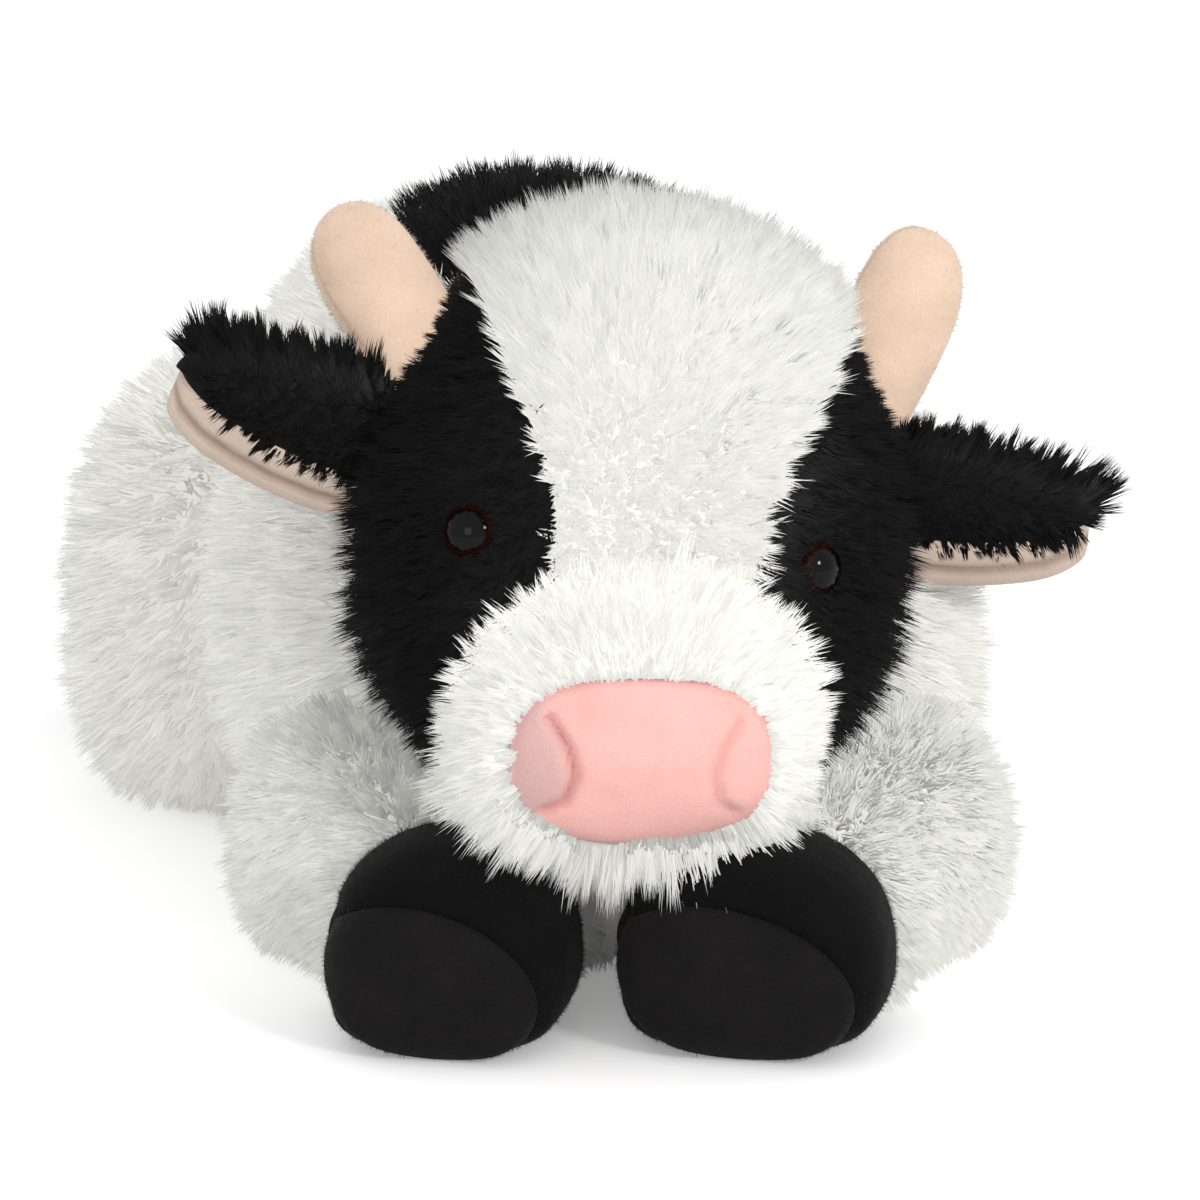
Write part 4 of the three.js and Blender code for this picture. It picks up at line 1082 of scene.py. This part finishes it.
for name, (side, out, back) in horn_lean.items():
    points, normals, triangles = horn_skin
    edge = np.abs(points[:, 1]) / (horn_radius * horn_flat)
    seam = np.exp(-((edge * 9) ** 2)) * smooth_step(0.2, 0.5, np.abs(normals[:, 0]) + normals[:, 2])
    points = points - seam_sunk * seam[:, None] * normals
    points[:, 0] = points[:, 0] - side * horn_curve * (points[:, 2] / horn_length) ** 2
    cx, sx = math.cos(math.radians(-back)), math.sin(math.radians(-back))
    about_x = np.array([[1, 0, 0], [0, cx, -sx], [0, sx, cx]])
    about_y = turned(0, side * math.radians(out))
    local = points @ (about_x @ about_y).T + horn_seat * [side, 1, 1]
    horn = put_mesh(name + "_horn_velour", from_head(local), triangles=triangles)
    set_share(horn, "seam", seam * 0.8)
    dress(horn, "head", "horn_velour", beige_velour, name + "_horn", fill=0.9)
    here = skin_of(horn)
    fuzz(name + "_horn_nap", here, 5000, everywhere, horn_nap, "horn_velour", "head", 26)


# Ears. Each is a leaf of black plush lined with pale velour and folded lengthwise, so that the lining shows
# in two lips below the black cloth; its root is sewn into the side of the head.
ear_length, ear_root, ear_half, ear_depth, ear_sunk = 45, 10, 15.5, 6.2, 4
ear_seat_z = 2
# place along the length, half height and half depth
ear_shares = np.array(
    [
        [0.0, 0.98, 1.0],
        [0.12, 1.02, 1],
        [0.34, 1.02, 1],
        [0.56, 0.95, 0.95],
        [0.76, 0.82, 0.85],
        [0.9, 0.61, 0.7],
        [0.97, 0.34, 0.5],
    ]
)
# side, rise and sweep back in degrees, seed
ear_set = {"right": (-1, 16, 2, 31), "left": (1, 4, -10, 32)}
ear_taper = {"right": 0.35, "left": 0.5}
# how high above the lining's lower edge the fur ends, at the root, half way and at the tip
fur_ends = {"right": (7, 10.5, 14), "left": (6, 7.5, 11)}
ear_lip, ear_fold, fold_deep = 2.8, 4.0, 3.6
# The fold colour is painted shade in the groove between the lining's two lips.
lining_velour = velour("lining_velour", (0.52, 0.42, 0.35), 0.3, masks=(("fold", (0.28, 0.19, 0.15)),))


def ear_rows(inset, top, bottom, taper):
    """A leaf along Y, as a form's table: half depth across, and the reach up and down. The reach up gets less
    by the share taper towards the tip."""
    place, tall, deep = ear_shares.T
    round_root = np.array([0.71, 0.94])
    root_steps = -ear_root * np.array([0.7, 0.35])
    along = [-ear_root + inset, *root_steps, *(ear_length * place), ear_length - inset]
    half = np.array([0, *(0.95 * ear_half * round_root), *(ear_half * tall), 0])
    depth = np.array([0, *(ear_root * 0.6 * round_root), *(ear_depth * deep), 0])
    body = (half > 0).astype(float)
    up = np.maximum(half * (1 - taper * np.clip(np.array(along) / ear_length, 0, 1)) - top, 0.4) * body
    down = np.maximum(half + bottom, 0.4) * body
    across = np.maximum(depth - inset, 0.4) * body
    return np.column_stack([along, 0 * half, 0 * half, across, up, down, 0 * half])


for name, (side, rise, back, seed) in ear_set.items():
    seat_x = math.sqrt(head_radius**2 - ear_seat_z**2) + ear_root - ear_sunk
    seat = np.array([side * seat_x, 0, ear_seat_z])
    axes = turned(math.radians(side * back), math.radians(-side * rise)) @ np.diag([side, 1, 1])
    grid = Form(ear_rows(0, 0, -6.5, ear_taper[name])).grid(5, 48)[..., [1, 0, 2]]
    black = put_form(name + "_ear_plush", from_head(grid @ axes.T + seat))
    black_skin = skin_of(black)
    dress(black, name + "_ear", "black_plush", black_backing, name + "_ear_back", fill=0.3)
    grid = Form(ear_rows(2.2, 3.0, ear_lip, ear_taper[name])).grid(5, 96)[..., [1, 0, 2]]
    fold = -ear_half * np.interp(grid[..., 0] / ear_length, *ear_shares[:, :2].T) - ear_lip + ear_fold
    groove = np.exp(-(((grid[..., 2] - fold) / 0.9) ** 2)) * fold_deep
    grid[..., 1] -= np.sign(grid[..., 1]) * np.minimum(groove, np.abs(grid[..., 1]) * 0.7)
    lining = put_form(name + "_ear_velour", from_head(grid @ axes.T + seat))
    # The fold share places the painted shade of the groove.
    groove = groove.reshape(-1, 96)[1:-1].ravel() / fold_deep
    set_share(lining, "fold", 0.7 * np.concatenate([[0], groove, [0]]))
    dress(lining, name + "_ear", "lining_velour", lining_velour, name + "_ear_lining", fill=0.3)

    def in_ear(points):
        """Points in the ear's own frame: X along it from its seat, Z up its width."""
        return (to_head(points) - seat) @ axes

    def ear_fur(points):
        """True above the line where the fur ends and the lining shows."""
        local = in_ear(points)
        edge = ear_half * np.interp(local[:, 0] / ear_length, *ear_shares[:, :2].T)
        end = np.interp(local[:, 0] / ear_length, [0, 0.5, 1], fur_ends[name])
        return local[:, 2] > end - ear_lip - edge

    def ear_comb(points):
        """Outwards along the ear, and upwards above its middle."""
        local = in_ear(points)
        rise = np.interp(local[:, 2], [-12, 0, 15], [0.1, 0.2, 0.6])
        way = np.stack([0.6 + 0 * rise, 0 * rise, rise], -1)
        return way @ axes.T @ head_axes.T

    def ear_long(points):
        """Longest at the ear's upper tip."""
        local = in_ear(points)
        along = np.interp(local[:, 0], [0, 30, 45], [6.2, 7, 13])
        return along * np.interp(local[:, 2], [-9, 10], [0.6, 1.1])

    locks = {"tuft": 14, "pull": 0.6, "ragged": 0.4}
    hair = pile(name + "_ear_pile", black_skin, 15500, ear_fur, ear_comb, ear_long, 0.75, seed, **locks)
    dress(hair, name + "_ear", "black_plush", black_pile)


# Legs. Each is a plush sleeve with a round root that turns where it is sewn into the body, over a weighted
# hoof of black velour whose front is a separate oval panel.
hoof_waist, hoof_pole = 0.38, 0.4
leg_high, leg_low = 0.88, 0.7
# place along the length, half width and height
hoof_shares = np.array(
    [
        [0.04, 0.6, 0.74],
        [0.18, 0.86, 0.9],
        [0.45, 0.98, 0.985],
        [0.7, 0.99, 1],
        [0.85, 0.93, 0.955],
        [0.94, 0.81, 0.84],
        [0.985, 0.58, 0.64],
    ]
)


def floor_form(y, half, top, first, last, low=leg_low, lifted=0):
    """A form that sits on the floor, pressed flat, between two poles that are each given as y and z. Its
    underside is lifted off the floor where lifted is above 0."""
    waist = -pressed + (top + pressed) * hoof_waist
    rows = np.column_stack([y, 0 * y, waist, half, top - waist, waist + pressed - lifted, 0 * y])
    start, end = ([[y, 0, z, 0, 0, 0, 0]] for y, z in (first, last))
    return Form(np.vstack([start, rows, end]), leg_high, low)


def about_z(degrees):
    """The rotation about Z."""
    c, s = math.cos(math.radians(degrees)), math.sin(math.radians(degrees))
    return np.array([[c, -s, 0], [s, c, 0], [0, 0, 1]])


def spun(points, degrees, x, y):
    """Points turned about Z and then moved."""
    return points @ about_z(degrees).T + [x, y, 0]


def unspun(points, degrees, x, y):
    """The other way round."""
    return (points - [x, y, 0]) @ about_z(degrees)


panel_half, panel_high, panel_x, panel_z, panel_roll = 26.5, 18.6, -2.6, 16.8, math.radians(-14)
seam_depth, seam_width = 1.1, 1.2


def panel_place(points):
    """A point's place on the hoof's front in the panel's half sizes, across and up."""
    x, z = points[:, 0] - panel_x, points[:, 2] - panel_z
    side = x * math.cos(panel_roll) + z * math.sin(panel_roll)
    rise = z * math.cos(panel_roll) - x * math.sin(panel_roll)
    return np.stack([side / panel_half, rise / panel_high], -1)


def on_front(points):
    """True on the front part of the hoof, where the panel is sewn in."""
    return points[:, 1] < hoof_back - 0.6 * hoof_length


def hoof_seam(points):
    """True along the seam round the front panel and at the back inside the sleeve, where the hoof is held."""
    gap = np.abs(np.linalg.norm(panel_place(points), axis=1) - 1) * panel_high
    return (on_front(points) & (gap < 1.1)) | (points[:, 1] > -4) | (points[:, 2] < 1)


def sewn_front(skin):
    """The hoof's skin with its seam pulled in, and the points nearest to the seam put exactly on it; also
    which triangles belong to the front panel."""
    points, normals, triangles = skin
    points = points.copy()
    points[:, 2] = np.maximum(points[:, 2], 0)
    share = np.linalg.norm(panel_place(points), axis=1)
    inside = (panel_place(points[triangles].mean(axis=1)) ** 2).sum(axis=1) < 1
    inside &= on_front(points[triangles].mean(axis=1))
    border = np.intersect1d(triangles[inside], triangles[~inside])
    border = border[np.abs(share[border] - 1) < 0.12]
    for axis, middle in ((0, panel_x), (2, panel_z)):
        points[border, axis] = middle + (points[border, axis] - middle) / share[border]
    share[border] = 1
    groove = np.exp(-(((share - 1) * panel_high / seam_width) ** 2)) * on_front(points)
    points -= seam_depth * groove[:, None] * normals
    points[:, 2] = np.maximum(points[:, 2], 0)
    return (points, normals, triangles), inside


full_length, full_half, full_height = hoof_length + 5, hoof_half + 0.7, hoof_height + 0.8
sole_lift = np.array([0, 0, 0, 0, 0.2, 1, 3.5])
hoof_rows = [hoof_back, 0, 0] + hoof_shares * [-full_length, full_half, full_height]
hoof_ends = [(hoof_back, hoof_height * hoof_pole), (hoof_back - full_length, hoof_height * hoof_pole)]
hoof_form = floor_form(*hoof_rows.T, *hoof_ends, 0.68, sole_lift)
hoof_skin = stuffed(put_form("hoof_form", hoof_form.grid(8, 96)), 2.4, 0.9, hoof_seam, 80)
hoof_skin, front_here = sewn_front(hoof_skin)
coarse = {"depth": 0.9, "bump": 0.6, "fibre": 1300}
hoof_velour = velour("hoof_velour", (0.001, 0.001, 0.0011), 0.02, **coarse)
hoof_front_velour = velour("hoof_front_velour", (0.0062, 0.0055, 0.0054), 0.03, **coarse)
# The nap's darker root colour is painted shade between its hairs.
hoof_nap = plush("hoof_nap", (0.003, 0.0027, 0.0027), (0.03, 0.027, 0.026), 0.8, 0.1, 0.9, 0)
body_lines = body_form.sections(np.linspace(0, len(body_rows) - 1, 200))


def in_body(points):
    """True for points a little inside the body's form."""
    y = points[:, 1]
    x, z, half, up, down = (np.interp(y, body_lines[:, 0], body_lines[:, k], -9, -9) for k in range(1, 6))
    rise = points[:, 2] - z
    power = 2 / np.where(rise > 0, 1, 0.6)
    reach = np.maximum(np.where(rise > 0, up, down), 0.1)
    size = np.abs((points[:, 0] - x) / np.maximum(half, 0.1)) ** power + np.abs(rise / reach) ** power
    return (size < 0.93) & (half > 0)


def joined(name, pieces):
    """Several pieces as one object, in the first one's place."""
    bpy.ops.object.select_all(action="DESELECT")
    for piece in pieces:
        piece.select_set(True)
    bpy.context.view_layer.objects.active = pieces[0]
    bpy.ops.object.join()
    pieces[0].name = name
    return pieces[0]


sleeve_end = 0.94
upright = np.array([0, 0, 1.0])
hoof_places = {}
hoof_lines = hoof_form.sections(np.linspace(0, len(hoof_form.rows) - 1, 120))[::-1]


def hoof_form_at(y):
    """The hoof's section at places along it: widest height, half width and reach up."""
    return [np.interp(y, hoof_lines[:, 0], hoof_lines[:, k], 0, 0) for k in (2, 3, 4)]


for number, (name, (size, x, y, heading, hoof_turn, spread, part)) in enumerate(leg_set.items()):
    wrist = size["wrist"]
    sleeve_form = floor_form(
        np.array([0, -wrist / 2, -wrist + 0.4]),
        np.array([size["half"], size["half"], hoof_half * sleeve_end]),
        np.array([size["top"], size["top"], hoof_height * sleeve_end]),
        (size["root"] / 2, size["top"] / 2),
        (-wrist, hoof_height / 2),
    )
    sleeve = put_form("sleeve", spun(sleeve_form.grid(10, 64), heading, x, y))
    turn = np.radians(np.linspace(-90, 90, 33))
    power = np.where(turn < 0, 0.5, 1)
    radius = size["root"] * np.abs(np.cos(turn)) ** power
    radius[[0, -1]] = 0
    height = size["height"] / 2 * (1 + np.sign(turn) * np.abs(np.sin(turn)) ** power) - pressed
    root = put_form("root", turned_profile(radius, height, upright, np.array([x, y, 0]), 64))
    leg_skin = stuffed(joined("leg", [sleeve, root]), 5, 1.0, lambda p: p[:, 2] < 2, 20)
    leg_skin[0][:, 2] = np.maximum(leg_skin[0][:, 2], 0)
    cover = put_mesh(name + "leg_plush", leg_skin[0], triangles=leg_skin[2])
    dress(cover, part, "white_plush", white_backing, name + "leg_sleeve", fill=0.5)
    ahead = math.radians(heading)
    place = heading + hoof_turn, x + math.sin(ahead) * wrist, y - math.cos(ahead) * wrist
    hoof_places[name] = place

    def leg_fur(points):
        """True on the leg's skin outside the body and the hoof, above the floor."""
        local = unspun(points, *place) / [spread, 1, 1]
        middle, half, up = hoof_form_at(local[:, 1])
        across, rise = local[:, 0] / np.maximum(half, 0.1), (local[:, 2] - middle) / np.maximum(up, 0.1)
        return ~in_body(points) & (points[:, 2] > 2) & ((across**2 + rise**2 > 0.85) | (half == 0))

    def leg_comb(points):
        """The sleeve's pile hangs down, and runs forwards over the hoof's edge."""
        ahead = spun(np.array([[0, -0.35, 0]]), heading, 0, 0)
        return np.array([0, 0, -0.4]) + ahead + 0 * points

    count, long = 24000 if "fore" in name else 14000, lambda p: 9 * everywhere(p)
    seed = 41 + number
    hair = pile(name + "leg_pile", leg_skin, count, leg_fur, leg_comb, long, 1.1, seed, lit=side_light)
    dress(hair, part, "white_plush", white_pile)
    points, normals, triangles = hoof_skin
    normals = unit(spun(normals / [spread, 1, 1], place[0], 0, 0))
    here = (spun(points * [spread, 1, 1], *place), normals, triangles)
    hoof = panel(name + "_hoof_velour", here, ~front_here)
    dress(hoof, part, "hoof_velour", hoof_velour, name + "_hoof", fill=0.8)
    front = panel(name + "_hoof_front_velour", here, front_here)
    dress(front, part, "hoof_velour", hoof_front_velour, name + "_hoof_front", fill=0.4)
    if "fore" in name:
        clear = lambda p: (p[:, 2] > 1) & (unspun(p, *place)[:, 1] < 2)
        fuzz(name + "_hoof_nap", here, 10500, clear, hoof_nap, "hoof_velour", part, 61 + number)


# Tail. A thin plush sleeve that hangs from the rump and ends in a black tuft.
tail_radius, tail_up, tail_sunk, tail_back, tail_bend, tail_drop = 4.6, 92, 8, 21, 12, 22
tuft_radius, tuft_length = 10, 30
tail_y = body_front + 0.95 * body_length
tail_seat = np.array([drift_at(tail_y), tail_y, tail_up])
bend = np.linspace(0, 1, 13)[:, None]
corner = np.array([[tail_back - tail_bend, 0], [tail_back, 0], [tail_back, -tail_bend]])
arc = (1 - bend) ** 2 * corner[0] + 2 * bend * (1 - bend) * corner[1] + bend**2 * corner[2]
path = np.vstack([[[-tail_sunk, 0]], arc, [[tail_back, -tail_drop]]])
dense = np.linspace(0, len(path) - 1, 60)
path = np.column_stack([np.interp(dense, range(len(path)), path[:, k]) for k in range(2)])
way = unit(np.gradient(path, axis=0))
girth = tail_radius * np.sqrt(np.clip(1 - (np.linspace(-1, 1, 60)) ** 12, 0, 1))[:, None]
turn = (2 * np.pi * np.arange(32) / 32)[None, :]
grid = np.stack(
    [
        girth * np.cos(turn),
        path[:, :1] - girth * np.sin(turn) * way[:, 1:],
        path[:, 1:] + girth * np.sin(turn) * way[:, :1],
    ],
    axis=-1,
)
sleeve = put_form("tail_plush", grid + tail_seat)
sleeve_skin = skin_of(sleeve)
dress(sleeve, "tail", "white_plush", white_backing, "tail")
comb_down = lambda p: np.array([0, 0.1, -0.7]) + 0 * p
outside = lambda p: p[:, 1] > tail_y + 3
short, longer = lambda p: 5 * everywhere(p), lambda p: 8 * everywhere(p)
hair = pile("tail_pile", sleeve_skin, 4000, outside, comb_down, short, 0.8, 51)
dress(hair, "tail", "white_plush", white_pile)
turn = np.radians(np.linspace(-90, 90, 25))
foot = tail_seat + [0, tail_back, -tail_drop - 0.4 - tuft_length / 2]
radii = tuft_radius * np.cos(turn)
radii[[0, -1]] = 0
tuft = put_form("tail_tuft_plush", turned_profile(radii, tuft_length / 2 * np.sin(turn), upright, foot, 40))
tuft_skin = skin_of(tuft)
dress(tuft, "tail", "black_plush", black_backing, "tail_tuft", fill=0.6)
hair = pile("tail_tuft_pile", tuft_skin, 5500, everywhere, comb_down, longer, 0.9, 52)
dress(hair, "tail", "black_plush", black_pile)


# Filling. Loose polyester fibre in the body, the head and through the neck opening, a bag of pellets low in
# the belly and a pocket of pellets in each hoof.
fibre_fill, shader = new_material("fibre_fill")
tree = fibre_fill.node_tree
wisps = pattern(tree, "Noise", 140, Detail=8, Distortion=2)["Fac"]
tint = mixed(tree, wisps, (0.72, 0.73, 0.72, 1), (0.93, 0.93, 0.92, 1))
raised = add_node(tree, "Bump", Strength=0.8, Distance=0.002, Height=wisps)
plug(shader, Base_Color=tint, Normal=raised.outputs["Normal"], Roughness=1)

pellet_cloth, shader = new_material("pellet_cloth")
tree = pellet_cloth.node_tree
beads, weave = pattern(tree, "Voronoi", 320)["Distance"], pattern(tree, "Wave", 900, Distortion=1)["Fac"]
tint = mixed(tree, weave, (0.62, 0.63, 0.6, 1), (0.75, 0.76, 0.73, 1))
raised = add_node(tree, "Bump", invert=True, Distance=0.001, Height=beads)
plug(shader, Base_Color=tint, Normal=raised.outputs["Normal"], Roughness=0.85)


def inset(form, gap):
    """A form's table made smaller by a gap all round."""
    rows = form.rows[:, :7].copy()
    middle = (rows[0, 0] + rows[-1, 0]) / 2
    rows[:, 0] = middle + (rows[:, 0] - middle) * (1 - 2 * gap / abs(rows[0, 0] - rows[-1, 0]))
    rows[:, 3:6] = np.maximum(rows[:, 3:6] - gap, 0.2) * (form.rows[:, 3:4] > 0)
    return Form(rows, form.high, form.rows[:, 7])


bag_half, bag_length, bag_height, cloth = 38, 108, 26, 1.7
bag_y = body_front + belly_from + belly_length / 2
turn = np.radians(np.linspace(-90, 90, 25))


def egg(name, half_x, half_y, half_z, middle):
    """A closed egg: a half circle turned about Z and stretched."""
    grid = turned_profile(np.cos(turn) * (np.abs(turn) < 1.57), np.sin(turn), upright, np.zeros(3), 40)
    return put_form(name, grid @ turned(math.atan2(0.3, 0.2), 0) * [half_x, half_y, half_z] + middle)


bag_middle = [drift_at(bag_y), bag_y, bag_height / 2 + cloth + 0.4]
bag = egg("pellet_bag_cloth", bag_half - 2, bag_length / 2 - 3, bag_height / 2 - 1, bag_middle)
dress(bag, "torso", "pellet_cloth", pellet_cloth, "pellet_bag", fill=0.5)
fill_points = hollowed(inset(body_form, 3.5).grid(3, 48), 4)
fill_points[..., 2] = np.maximum(fill_points[..., 2], cloth + 0.5)
fill = put_form("body_fill_fibre", fill_points)
for other in [bag, *(bpy.data.objects[name + "leg_plush"] for name in leg_set)]:
    applied(fill, "BOOLEAN", object=other, operation="DIFFERENCE")
dress(fill, "torso", "fibre_fill", fibre_fill, "body_fill", fill=0.7)
fill = put_form("head_fill_fibre", from_head(inset(head_form, 6).grid(4, 64)))
dress(fill, "head", "fibre_fill", fibre_fill, "head_fill", fill=0.9)
wad_thick = 7
ball_middle = np.array([head_x, head_y, head_z])
wad_axis = unit(node_points("neck_fill").mean(axis=0) - ball_middle)
wad_turn = np.radians(np.linspace(0, 21, 12))
wad_turn = np.concatenate([wad_turn, wad_turn[::-1]])
out = np.repeat([head_radius, head_radius - wad_thick], 12)
profile = out * np.sin(wad_turn), out * np.cos(wad_turn)
neck = put_form("neck_fill_fibre", turned_profile(*profile, wad_axis, ball_middle, 40))
dress(neck, "neck", "fibre_fill", fibre_fill, "neck_fill", fill=0.8)
pellet_halves = 17, 14, 12
for name, (*_, part) in leg_set.items():
    middle = np.array([0, hoof_back - hoof_length / 2, hoof_height / 2 - pressed])
    pocket = egg(name + "_hoof_pellet_cloth", *pellet_halves, spun(middle, *hoof_places[name]))
    dress(pocket, part, "pellet_cloth", pellet_cloth, name + "_hoof_pellets", fill=0.6)
